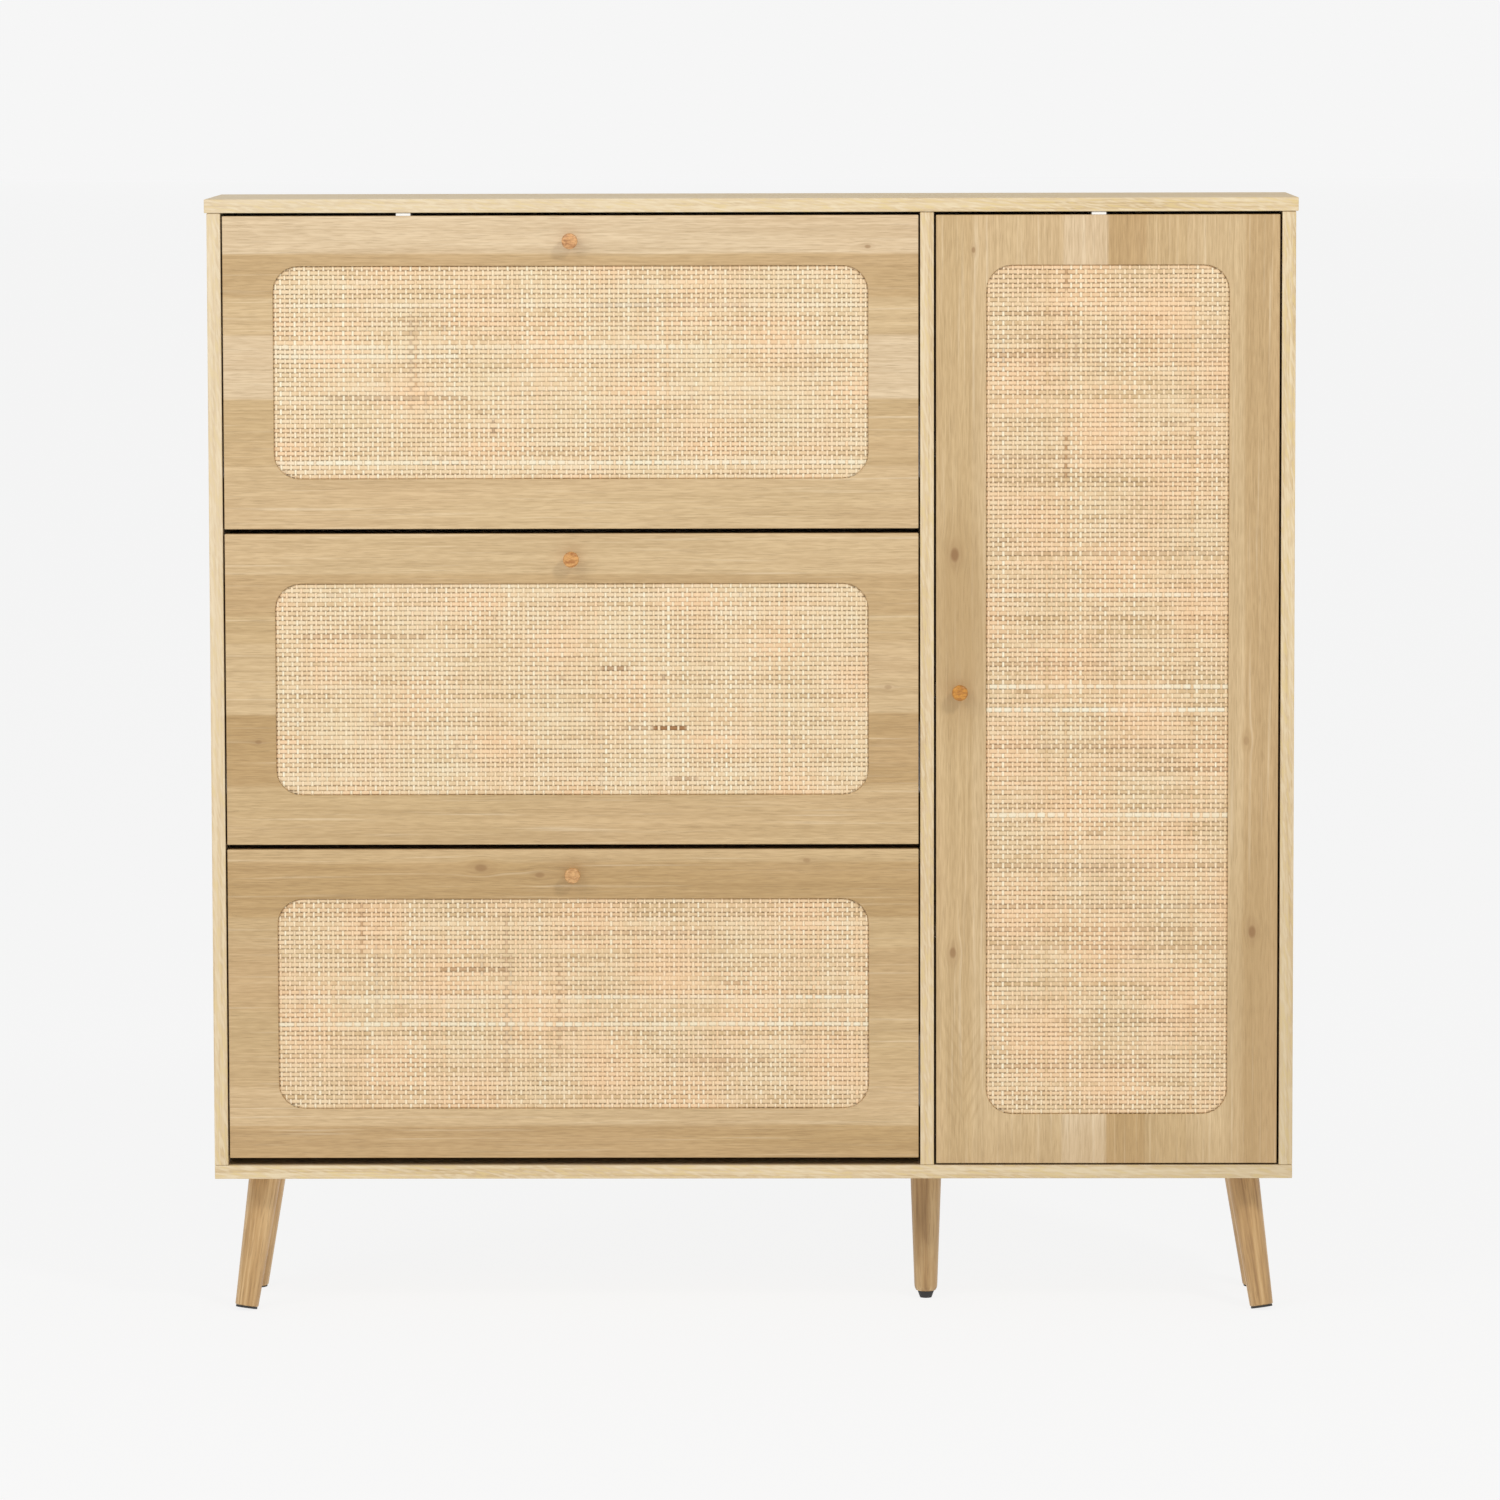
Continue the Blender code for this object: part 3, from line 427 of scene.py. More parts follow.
steel = steel_finish("plated steel")
pin_neck = PIN_HEAD_THICKNESS + PIN_CHAMFER
pin_profile = [(PIN_HEAD, 0), (PIN_HEAD, PIN_HEAD_THICKNESS), (PIN_RADIUS, pin_neck), (PIN_RADIUS, PIN_REACH)]
divider_low, divider_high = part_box("centre_divider")
side_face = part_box("door_shelf_1")[1][0] + SHELF_END_GAP
pin_places = []
for shelf in SHELVES:
    low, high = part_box(shelf)
    pin_z = low[2] - PIN_RADIUS - PIN_GAP
    for y in (low[1] + PIN_INSET, high[1] - PIN_INSET):
        pin_places.append(facing((divider_high[0], y, pin_z), (1, 0, 0)))
        pin_places.append(facing((side_face, y, pin_z), (-1, 0, 0)))
put("shelf_pins", copied(turned(pin_profile, 16), pin_places), steel, "carcass")


# Back sheet: a 3 mm fibreboard slid into grooves in the sides, its faces printed with a faint pale grain
# that runs up.
def printed_sheet(name, colour, fleck, run="up", streak=0.0):
    """Pale printed board: soft clouds of tone, paper fibres and, with a streak above 0, a faint grain."""
    finish = Finish(name, roughness=0.62, specular=0.3)
    where = finish.place()
    cloud = finish.noise(finish.scaled(where, (5, 5, 5)), 3.0)
    fibres = finish.noise(finish.scaled(where, (700, 700, 260)), 2.0, 0.7)
    tinted = finish.mixed(cloud * 0.5, colour, [0.88 * part for part in colour])
    if streak > 0:
        lines, fine, pores = grain(finish, where, run, 4.4)
        band = finish.noise(finish.scaled(where, along_grain(run, 0.8, 11)), 2.0)
        veins = (lines * 0.6 + fine * 0.4).between(0.36, 0.66) * streak
        veins = veins + band.between(0.40, 0.66) * streak * 0.6
        tinted = finish.mixed(veins + pores * streak * 0.5, tinted, fleck)
    finish.feed("Base Color", finish.mixed(fibres.between(0.5, 0.8) * 0.35, tinted, fleck))
    finish.feed("Roughness", 0.56 + fibres * 0.12)
    finish.relief(fibres, 0.00008)
    return finish


back_print = printed_sheet("back sheet print", (0.68, 0.575, 0.43), (0.50, 0.385, 0.245), "up", 0.55)
paint(["back_sheet"], back_print)


# Cam locks: turned zinc discs with a cross slot, let into the boards' inner faces where they meet the top
# and bottom. They pull the joint tight on a pin in the other board.
CAM_RADIUS = 0.0075
CAM_RISE = 0.0010
CAM_FROM_END = 0.034
CAM_FROM_FRONT = 0.050
CAM_FROM_REAR = 0.040


def screw_head(radius, rise):
    """A screw's head on the Z axis: at (radius, angle) its height is a low dome less a cross-shaped
    recess, and a short skirt goes below."""
    sides = 24
    part = np.array([0.10, 0.30, 0.46, 0.60, 0.80, 0.93, 1.0])
    angle = np.arange(sides) * 2 * np.pi / sides
    dome = rise * np.sqrt(np.clip(1 - (part * 0.95) ** 2, 0, 1))
    arm = np.minimum(np.abs(np.sin(angle)), np.abs(np.cos(angle)))
    cross = (part[:, None] * arm < 0.13) & (part[:, None] < 0.62)
    height = dome[:, None] - cross * rise * 0.75
    across = radius * part[:, None] * np.cos(angle)
    deep = radius * part[:, None] * np.sin(angle)
    top = np.stack([across, deep, height], axis=-1)
    skirt = np.stack([radius * np.cos(angle), radius * np.sin(angle), np.full(sides, -0.0002)], axis=-1)
    points = np.concatenate([skirt, top[::-1].reshape(-1, 3)])
    rings = np.arange(len(points)).reshape(-1, sides)
    here, above = rings[:-1], rings[1:]
    quads = np.stack([here, np.roll(here, -1, 1), np.roll(above, -1, 1), above], axis=-1)
    return points, quads.reshape(-1, 4), [rings[0][::-1].tolist(), rings[-1].tolist()]


cam_places = []
for z in (divider_low[2] + CAM_FROM_END, divider_high[2] - CAM_FROM_END):
    for y in (divider_low[1] + CAM_FROM_FRONT, divider_high[1] - CAM_FROM_REAR):
        cam_places.append(facing((divider_high[0], y, z), (1, 0, 0)))
        cam_places.append(facing((side_face, y, z), (-1, 0, 0)))
zinc = steel_finish("cam zinc", (0.50, 0.49, 0.48), 0.42)
put("cam_locks", copied(screw_head(CAM_RADIUS, CAM_RISE), cam_places), zinc, "carcass")


# Magnetic catches: white moulded housings screwed up under the top panel and the rails, each with a steel
# faced magnet; the top ones have a thin lip that reaches forward over the leaf. A steel strike plate on
# the leaf's back meets each one.
CATCH_WIDTH = 0.016
CATCH_DEPTH = 0.028
CATCH_HEIGHT = 0.012
LIP_HEIGHT = 0.0032
LIP_BACK = 0.0003  # from the carcass' front edge to the lip's
MAGNET_HALF = (0.0056, 0.0030)  # half its width and height
MAGNET_DROP = 0.0012  # below the middle of the housing's height
MAGNET_DEPTH = 0.0020
CATCH_SCREW_BACK = 0.018
STRIKE_THICKNESS = 0.0009
STRIKE_HALF = (0.0095, 0.0045)
STRIKE_SCREW_REACH = 0.0062
OVERLAP = 0.0002  # by which a small piece is sunk into what it is fixed to


def rounded_box(low, high, radius, steps=2):
    """A box with rounded edges: at (longitude, latitude) on a small ball, the point is the ball's own,
    pushed out to the corner of the box that it faces."""
    low, high = np.asarray(low, float), np.asarray(high, float)
    quarter = np.linspace(0, np.pi / 2, steps + 1)
    around = np.concatenate([quarter + n * np.pi / 2 for n in range(4)])
    rise = np.concatenate([quarter - np.pi / 2, quarter])
    corner_x = np.repeat([1, -1, -1, 1], steps + 1)
    corner_y = np.repeat([1, 1, -1, -1], steps + 1)
    corner_z = np.repeat([-1, 1], steps + 1)
    ball = np.stack(
        [
            np.cos(rise)[:, None] * np.cos(around),
            np.cos(rise)[:, None] * np.sin(around),
            np.broadcast_to(np.sin(rise)[:, None], (len(rise), len(around))),
        ],
        axis=-1,
    )
    sign = np.stack(
        [
            np.broadcast_to(corner_x, ball.shape[:2]),
            np.broadcast_to(corner_y, ball.shape[:2]),
            np.broadcast_to(corner_z[:, None], ball.shape[:2]),
        ],
        axis=-1,
    )
    points = (low + high) / 2 + sign * ((high - low) / 2 - radius) + ball * radius
    ring = np.arange(len(around))
    after = (ring + 1) % len(around)
    row = np.arange(len(rise) - 1)[:, None] * len(around)
    quads = np.stack([row + ring, row + after, row + len(around) + after, row + len(around) + ring], axis=-1)
    last = (len(rise) - 1) * len(around)
    ends = [ring[::-1].tolist(), (last + ring).tolist()]
    return points.reshape(-1, 3), quads.reshape(-1, 4), ends


def joined_up(shapes):
    """Several shapes as one."""
    points, quads, ends = [], [], []
    base = 0
    for shape_points, shape_quads, shape_ends in shapes:
        points.append(shape_points)
        quads.append(shape_quads + base)
        ends += [[corner + base for corner in end] for end in shape_ends]
        base += len(shape_points)
    return np.concatenate(points), np.concatenate(quads), ends


def moulded(name, colour, roughness, mottle=0.08):
    """Moulded plastic: a faint cloudy tone and a fine spark-eroded texture."""
    finish = Finish(name, roughness=roughness, specular=0.45)
    where = finish.place()
    cloud = finish.noise(finish.scaled(where, (38, 38, 38)), 2.0)
    grit = finish.noise(finish.scaled(where, (2400, 2400, 2400)), 1.0)
    darker = [(1 - 2 * mottle) * part for part in colour]
    finish.feed("Base Color", finish.mixed(cloud * 0.6 + grit * 0.4, colour, darker))
    finish.feed("Roughness", roughness - 0.05 + grit * 0.12)
    finish.relief(grit, 0.00004)
    return finish


white = moulded("white plastic", (0.93, 0.92, 0.89), 0.42, 0.04)
paint(["flap_catch", "door_catch"], white)
carcass_front = divider_low[1]
flap_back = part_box("flap_1_frame")[1][1]
catch_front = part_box("flap_catch")[0][1]
lips, magnets, housings, catch_screws, catch_tops = [], [], [], [], []
for catch in ("flap_catch", "door_catch"):
    low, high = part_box(catch)
    x, top = (low[0] + high[0]) / 2, high[2]
    catch_tops.append((x, top))
    low = (x - CATCH_WIDTH / 2, carcass_front + LIP_BACK, top - LIP_HEIGHT)
    high = (x + CATCH_WIDTH / 2, catch_front + 0.0005, top)
    lips.append(rounded_box(low, high, 0.0004))
catch_x = catch_tops[0][0]
for rail in RAILS:
    rail_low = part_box(rail)[0]
    top = rail_low[2] - OVERLAP
    catch_tops.append((catch_x, top))
    low = (catch_x - CATCH_WIDTH / 2, rail_low[1], top - CATCH_HEIGHT)
    high = (catch_x + CATCH_WIDTH / 2, rail_low[1] + CATCH_DEPTH, top)
    housings.append(rounded_box(low, high, 0.0008))
for x, top in catch_tops:
    middle = top - CATCH_HEIGHT / 2 - MAGNET_DROP
    low = (x - MAGNET_HALF[0], catch_front - 0.0003, middle - MAGNET_HALF[1])
    high = (x + MAGNET_HALF[0], catch_front + MAGNET_DEPTH, middle + MAGNET_HALF[1])
    magnets.append(rounded_box(low, high, 0.0002))
    catch_screws.append(facing((x, catch_front + CATCH_SCREW_BACK, top - CATCH_HEIGHT), (0, 0, -1)))
put("catch_lips", joined_up(lips), white, "carcass")
put("rail_catches", joined_up(housings), white, "carcass")
put("catch_magnets", joined_up(magnets), steel, "carcass")
put("catch_screws", copied(screw_head(0.0026, 0.0009), catch_screws), steel, "carcass")
for body, (x, top) in zip(("flap_1", "door", "flap_2", "flap_3"), catch_tops):
    middle = top - CATCH_HEIGHT / 2 - MAGNET_DROP
    plate_back = flap_back + STRIKE_THICKNESS
    low = (x - STRIKE_HALF[0], flap_back - 0.0001, middle - STRIKE_HALF[1])
    high = (x + STRIKE_HALF[0], plate_back, middle + STRIKE_HALF[1])
    plate = rounded_box(low, high, 0.0003)
    screw_xs = (x - STRIKE_SCREW_REACH, x + STRIKE_SCREW_REACH)
    screws = [facing((screw_x, plate_back - OVERLAP, middle), (0, 1, 0)) for screw_x in screw_xs]
    heads = copied(screw_head(0.0020, 0.0004), screws)
    put(f"{body}_strike_plate", joined_up([plate, heads]), steel, body)


# Legs: turned oak, tapered, satin lacquered. The four corner legs lean out both ways and stand on angled
# white washers; thin black pads are glued to their feet. The middle leg is straight with a screw glide.
LEG_SLOPE = math.tan(math.radians(8))
LEG_TOP_RADIUS = 0.0178
WASHER_RADIUS = 0.0135
WASHER_SIDES = 28
WASHER_GAP = 0.0001  # over the leg's top
CENTRE_LEG_SHADE = 0.80
LEG_PORE_BROWN = (0.27, 0.145, 0.055)
LEG_TONES = ((0.30, 0.165, 0.062), (0.50, 0.303, 0.125), (0.72, 0.498, 0.250))
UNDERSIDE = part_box("bottom_panel")[0][2]


def leg_oak(name, slope_x, slope_y, shift, shade=1.0):
    """Oak with its grain along a leaning leg: each point is slid back by the lean times its height."""
    finish = Finish(name, roughness=0.44, specular=0.5)
    x, y, z = finish.parts(finish.place())
    upright = finish.joined(x - z * slope_x, y - z * slope_y, z)
    lines = finish.noise(finish.scaled(upright, (330, 330, 7), (shift, 0, 0)), 3.0, 0.6)
    bands = finish.noise(finish.scaled(upright, (95, 95, 2.5), (0, shift, 0)), 2.0, 0.5)
    pores = finish.noise(finish.scaled(upright, (900, 900, 26), (shift, shift, 0)), 1.0)
    tone = bands * 0.55 + lines * 0.45
    dark, middle, light = [[part * shade for part in colour] for colour in LEG_TONES]
    colour = finish.ramp(tone, [(0.30, dark), (0.48, middle), (0.66, light)])
    colour = finish.mixed(pores.between(0.55, 0.70) * 0.45, colour, LEG_PORE_BROWN)
    finish.feed("Base Color", colour)
    finish.feed("Roughness", 0.50 - lines * 0.16)
    finish.relief(lines - pores * 0.6, 0.00015)
    return finish


rubber = moulded("black rubber", (0.035, 0.033, 0.030), 0.62, 0.15)
washers = []
for side, away_x in (("left", -1), ("right", 1)):
    for end, away_y in (("front", -1), ("rear", 1)):
        # the leg leans outwards as it goes down, so its axis slides inwards as z rises
        slope_x, slope_y = -away_x * LEG_SLOPE, -away_y * LEG_SLOPE
        name = f"leg_{end}_{side}"
        paint([name], leg_oak(name.replace("_", " ") + " oak", slope_x, slope_y, 3.0 * away_x + away_y))
        paint([f"pad_{end}_{side}"], rubber)
        low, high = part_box(name)
        lean = Vector((slope_x, slope_y, 1)).normalized()
        # the washer's lower face lies on the leg's square top, its upper face against the underside
        tilt_drop = LEG_TOP_RADIUS * math.hypot(lean.x, lean.y)
        inner_x = high[0] if away_x < 0 else low[0]
        inner_y = high[1] if away_y < 0 else low[1]
        axis_x = inner_x + away_x * LEG_TOP_RADIUS * math.sqrt(1 - lean.x**2)
        axis_y = inner_y + away_y * LEG_TOP_RADIUS * math.sqrt(1 - lean.y**2)
        axis_z = high[2] - tilt_drop
        ring = np.arange(WASHER_SIDES)
        angle = ring * 2 * np.pi / WASHER_SIDES
        ring_x = axis_x + WASHER_RADIUS * np.cos(angle)
        ring_y = axis_y + WASHER_RADIUS * np.sin(angle)
        ring_z = axis_z - (lean.x * (ring_x - axis_x) + lean.y * (ring_y - axis_y)) / lean.z
        lower = np.stack([ring_x, ring_y, ring_z + WASHER_GAP], axis=-1)
        upper = np.stack([ring_x, ring_y, np.full(WASHER_SIDES, UNDERSIDE)], axis=-1)
        after = (ring + 1) % WASHER_SIDES
        above = ring + WASHER_SIDES
        quads = np.stack([ring, after, WASHER_SIDES + after, above], axis=-1)
        washers.append((np.concatenate([lower, upper]), quads, [ring[::-1].tolist(), above.tolist()]))
put("leg_washers", joined_up(washers), white, "carcass")
paint(["centre_leg"], leg_oak("centre leg oak", 0.0, 0.0, 7.7, CENTRE_LEG_SHADE))
paint(["centre_glide"], rubber)


# Flap and door fronts: 15 mm board with an oak plank print, satin lacquered. Each frame is cut from one
# board, so the printed planks run straight past the window, across the flaps and up the door.
FRONT_PLANKS = {
    "dark": (0.552, 0.370, 0.170),
    "brown": (0.600, 0.418, 0.212),
    "tan": (0.645, 0.465, 0.245),
    "honey": (0.695, 0.515, 0.290),
    "pale": (0.768, 0.602, 0.392),
}
PINK_TINT = (0.690, 0.480, 0.270)
GROWTH_LINE = (0.81, 0.78, 0.73)  # these two darken what lies under them
THREAD_LINE = (0.90, 0.88, 0.85)
BRIGHT_STREAK = (0.90, 0.76, 0.54)
ARCH_BROWN = (0.42, 0.27, 0.12)
FRONT_PORE_BROWN = (0.36, 0.23, 0.10)
SHADE_BROWN = (0.44, 0.285, 0.125)
KNOT_BROWN = (0.30, 0.165, 0.065)
JOINT_BLEND = 0.004  # share of the leaf's size
JOINT_WANDER = 0.004


def plank_stops(planks, low, high):
    """Ramp stops for planks given as (place where each ends, name), with a short blend at every joint."""
    span = high - low
    stops = []
    start = low
    for end, name in planks:
        colour = FRONT_PLANKS[name]
        stops.append((max(0.0, (start - low) / span + JOINT_BLEND), colour))
        stops.append((min(1.0, (end - low) / span - JOINT_BLEND), colour))
        start = end
    return stops


def front_oak(name, run, planks, shift, knots=(), arches=(), shades=()):
    """Oak planks side by side. planks: (where each ends, its tone) across the grain, in metres.

    knots: (x, z, radius, darkness); the grain parts round each. arches: (x, low z, high z, half width)
    where the growth lines dip to points, as where a plank is cut flat across the rings. shades: (x, z,
    half width, half height, darkness) of broad darker places.
    """
    finish = Finish(name, roughness=0.46, specular=0.45)
    where = finish.place()
    x, y, z = finish.parts(where)
    dark_spots = None
    for knot_x, knot_z, radius, darkness in knots:
        off_x, off_z = x - knot_x, z - knot_z
        along, aside = (off_x, off_z) if run == "across" else (off_z, off_x)
        near = along * along * (1 / (radius * 5.0) ** 2) + aside * aside * (1 / (radius * 2.6) ** 2)
        push = (near * -1.0).maths("EXPONENT") * 0.75
        if run == "across":
            z = z - off_z * push
        else:
            x = x - off_x * push
        core = along * along * (1 / (radius * 1.7) ** 2) + aside * aside * (1 / radius**2)
        core = core.between(0.25, 1.6, darkness, 0.0)
        halo = near.between(0.0, 1.2, 0.34 * darkness, 0.0)
        spot = core + halo
        dark_spots = spot if dark_spots is None else dark_spots + spot
    bent = finish.joined(x, y, z)
    lines, fine, pores = grain(finish, bent, run, shift)
    low = planks[0][0]
    high = planks[-1][0]
    across = z if run == "across" else x
    wander = finish.noise(finish.scaled(where, along_grain(run, 3, 3), (shift, 0, 0)), 1.0)
    wander = (wander - 0.5) * JOINT_WANDER
    level = (across + wander - low) / (high - low)
    colour = finish.ramp(level, plank_stops(planks[1:], low, high))
    cloud = finish.noise(finish.scaled(bent, along_grain(run, 2.6, 16), (shift, shift, 0)), 2.0)
    colour = finish.mixed(cloud.between(0.42, 0.72) * 0.30, colour, PINK_TINT)
    streak = (lines * 0.56 + fine * 0.44).between(0.30, 0.70)
    colour = finish.mixed(streak, colour, GROWTH_LINE, "MULTIPLY")
    thread = finish.noise(finish.scaled(bent, along_grain(run, 55, 640), (shift, shift, 1)), 1.0)
    colour = finish.mixed(thread.between(0.34, 0.66), colour, THREAD_LINE, "MULTIPLY")
    bright = finish.noise(finish.scaled(bent, along_grain(run, 4, 210), (shift, 3, 0)), 2.0, 0.6)
    colour = finish.mixed(bright.between(0.56, 0.76) * 0.30, colour, BRIGHT_STREAK)
    for arch_x, low_z, high_z, half_width in arches:
        off = x - arch_x
        rise = z * 48.0 - off.maths("ABSOLUTE") * (2.1 / half_width)
        wave = (rise * math.tau + cloud * 9.0).maths("SINE")
        inside = off.maths("ABSOLUTE").between(half_width * 0.7, half_width * 1.15, 1.0, 0.0)
        inside = inside * z.between(low_z, low_z + 0.03) * z.between(high_z - 0.05, high_z, 1.0, 0.0)
        colour = finish.mixed(inside * wave.between(0.2, 0.95) * 0.24, colour, ARCH_BROWN)
    colour = finish.mixed(pores * 0.24, colour, FRONT_PORE_BROWN)
    for shade_x, shade_z, half_width, half_height, darkness in shades:
        off_x, off_z = x - shade_x, z - shade_z
        near = off_x * off_x * (1 / half_width**2) + off_z * off_z * (1 / half_height**2)
        colour = finish.mixed(near.between(0.1, 1.3, darkness, 0.0), colour, SHADE_BROWN)
    if dark_spots is not None:
        colour = finish.mixed(dark_spots.clamped(), colour, KNOT_BROWN)
    finish.feed("Base Color", colour)
    finish.feed("Roughness", 0.50 - fine * 0.12 + pores * 0.10)
    finish.relief(fine * 0.6 - pores, 0.00014)
    return finish


def flap_planks(number, cuts):
    """Plank joints measured down from the flap's top edge, as fractions of its height."""
    low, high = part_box(f"flap_{number}_frame")
    top, height = high[2], high[2] - low[2]
    up = [(top - height * end, tone) for end, tone in cuts]
    ends = [top] + [place for place, _ in up]
    tones = [tone for _, tone in up]
    return [(low[2], "tan")] + [(ends[i], tones[i]) for i in reversed(range(len(tones)))]


FLAP_CUTS = {
    1: [(0.12, "pale"), (0.26, "brown"), (0.38, "honey"), (0.585, "pale"), (0.80, "tan"), (1.0, "honey")],
    2: [(0.13, "honey"), (0.26, "brown"), (0.35, "tan"), (0.58, "honey"), (0.81, "dark"), (1.0, "tan")],
    3: [
        (0.04, "tan"),
        (0.22, "dark"),
        (0.32, "tan"),
        (0.52, "brown"),
        (0.77, "tan"),
        (0.895, "honey"),
        (1.0, "dark"),
    ],
}
FLAP_KNOTS = {
    1: [(0.128, 1.185, 0.0020, 0.5)],
    2: [(-0.545, 0.640, 0.0022, 0.5), (0.150, 0.700, 0.0025, 0.4)],
    3: [(-0.300, 0.500, 0.0040, 0.55), (-0.235, 0.492, 0.0030, 0.5), (0.060, 0.508, 0.0025, 0.4)],
}
for number, cuts in FLAP_CUTS.items():
    planks = flap_planks(number, cuts)
    oak = front_oak(f"flap {number} oak", "across", planks, 3.1 * number, FLAP_KNOTS[number])
    paint([f"flap_{number}_frame"], oak)

DOOR_CUTS = [
    (0.105, "tan"),
    (0.370, "honey"),
    (0.500, "pale"),
    (0.612, "dark"),
    (0.735, "tan"),
    (0.900, "honey"),
    (1.0, "brown"),
]
DOOR_KNOTS = [
    (0.2235, 0.846, 0.0045, 0.75),
    (0.2440, 1.181, 0.0020, 0.55),
    (0.2215, 0.405, 0.0035, 0.60),
    (0.5520, 0.428, 0.0040, 0.70),
    (0.5450, 0.640, 0.0030, 0.35),
]
DOOR_ARCHES = [(0.2330, 0.20, 0.36, 0.022)]
door_low, door_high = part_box("door_frame")
door_width = door_high[0] - door_low[0]
door_planks = [(door_low[0], "tan")] + [(door_low[0] + door_width * end, tone) for end, tone in DOOR_CUTS]
DOOR_SHADES = [
    (0.230, 0.770, 0.034, 0.150, 0.60),
    (0.555, 0.330, 0.034, 0.260, 0.44),
    (0.385, 0.165, 0.240, 0.055, 0.30),
]
door_oak = front_oak("door oak", "up", door_planks, 17.3, DOOR_KNOTS, DOOR_ARCHES, DOOR_SHADES)
paint(["door_frame"], door_oak)


# Woven cane: flat split strands in a plain weave, glued over a thin backing board set into each window.
# The strands vary in width and colour; a few are nearly white and a few have dark brown stretches.
FRAME_RAIL = 0.055
WINDOW_RADIUS = 0.028
WARP_PITCH = 0.0053
WEFT_PITCH = 0.00508
WARP_WIDTH = 0.0027
WEFT_WIDTH = 0.00485
STRAND_THICKNESS = 0.0007
WEAVE_RISE = 0.00040
STEPS_PER_CROSSING = 2
STRAND_SHIFT = 0.00013  # how far strands stray from even spacing
WIDTH_SPREAD = 0.08
LOOSENESS = 0.00005
WEAVE_GAP = 0.00012  # between the strands and the backing
SECTION_ASIDE = (-0.5, -0.20, 0.20, 0.5, 0.20, -0.20)  # a strand's section, in shares of its width
SECTION_HEIGHT = (0.0, 0.5, 0.5, 0.0, -0.5, -0.5)  # and of its thickness
CORNERS = len(SECTION_ASIDE)
MOST_FACES = 95000  # in one piece
CANE_TONES = ((0.0, (0.62, 0.41, 0.19)), (0.45, (0.94, 0.715, 0.445)), (1.0, (1.0, 0.93, 0.72)))
CANE_WARM = (0.94, 0.61, 0.36)
CANE_GREEN = (0.80, 0.70, 0.46)
CANE_BROWN = (0.33, 0.155, 0.052)
WEFT_SHADE = 0.87
WARP_SHADE = 0.94
# share of nearly white strands; how much lighter the others are; their spread
WEFT_PALE = (0.03, 0.0, 0.030)
WARP_PALE = (0.16, 0.22, 0.085)


def window_reach(offset, half_across, half_along):
    """Half the window's length along a strand that runs offset from its middle: the straight part, and in
    the rounded corners the radius' own circle."""
    past = np.clip(np.abs(offset) - (half_across - WINDOW_RADIUS), 0, WINDOW_RADIUS * 0.999)
    return half_along - WINDOW_RADIUS + np.sqrt(WINDOW_RADIUS**2 - past**2)


def strand_set(rng, half_across, half_along, count, crossings, width, lift):
    """Strands side by side, each a flat six-sided band carried along its own line.

    Strand i rises and falls along itself as the cosine of half a turn per crossing, counted from its first
    crossing and started the other way up on every second strand; its side edges lean with a slow sine. The
    two ends follow the window's outline. Returns along, aside and height for every point, the faces, and
    each point's strand number.
    """
    pitch = 2 * half_across / count
    crossing_pitch = 2 * half_along / crossings
    first = -(count - 1) / 2 * pitch
    aside0 = first + np.arange(count) * pitch + rng.normal(0, STRAND_SHIFT, count)
    widths = width * np.clip(rng.normal(1.0, WIDTH_SPREAD, count), 0.75, 1.2)
    step = crossing_pitch / STEPS_PER_CROSSING
    corner_aside = np.array(SECTION_ASIDE)
    corner_height = np.array(SECTION_HEIGHT) * STRAND_THICKNESS
    corner_lines = np.clip(aside0[:, None] + corner_aside * widths[:, None], -half_across, half_across)
    reach = window_reach(corner_lines, half_across, half_along)
    inner = reach.min(axis=1) - 0.35 * step
    half_steps = np.floor(inner / step).astype(int)
    samples = 2 * half_steps + 3
    strand = np.repeat(np.arange(count), samples)
    order = np.arange(samples.sum()) - np.repeat(np.cumsum(samples) - samples, samples)
    k = order - half_steps[strand] - 1
    along = np.repeat((k * step)[:, None], CORNERS, axis=1)
    at_start = order == 0
    at_end = order == samples[strand] - 1
    along[at_start] = -reach[strand[at_start]]
    along[at_end] = reach[strand[at_end]]
    phase = np.pi * (along / crossing_pitch + (crossings - 1) / 2)
    flip = np.where((strand + lift) % 2 == 0, 1.0, -1.0)[:, None]
    wave = np.tanh(1.6 * np.cos(phase)) / np.tanh(1.6)
    loose = rng.normal(0, LOOSENESS, count)[strand][:, None]
    height = WEAVE_RISE * wave * flip + corner_height + loose
    sway = 0.00016 * np.sin(along / 0.055 + rng.uniform(0, 6.28, count)[strand][:, None])
    sway += 0.00010 * np.sin(along / 0.017 + rng.uniform(0, 6.28, count)[strand][:, None])
    tight = 1.0 + 0.08 * np.sin(along / 0.031 + rng.uniform(0, 6.28, count)[strand][:, None])
    aside = aside0[strand][:, None] + corner_aside * widths[strand][:, None] * tight + sway
    aside = np.clip(aside, -half_across, half_across)
    ring = np.arange(len(strand)) * CORNERS
    joined = ~at_end
    here = ring[joined][:, None]
    corner = np.arange(CORNERS)
    after = (corner + 1) % CORNERS
    beyond = here + CORNERS
    quads = np.stack([here + corner, beyond + corner, beyond + after, here + after], axis=-1)
    halves = np.array([(0, 1, 2, 3), (0, 3, 4, 5)])
    starts = ring[at_start][:, None, None] + halves
    ends = ring[at_end][:, None, None] + halves[:, ::-1]
    faces = np.concatenate([quads.reshape(-1, 4), starts.reshape(-1, 4), ends.reshape(-1, 4)])
    return along, aside, height, faces, strand


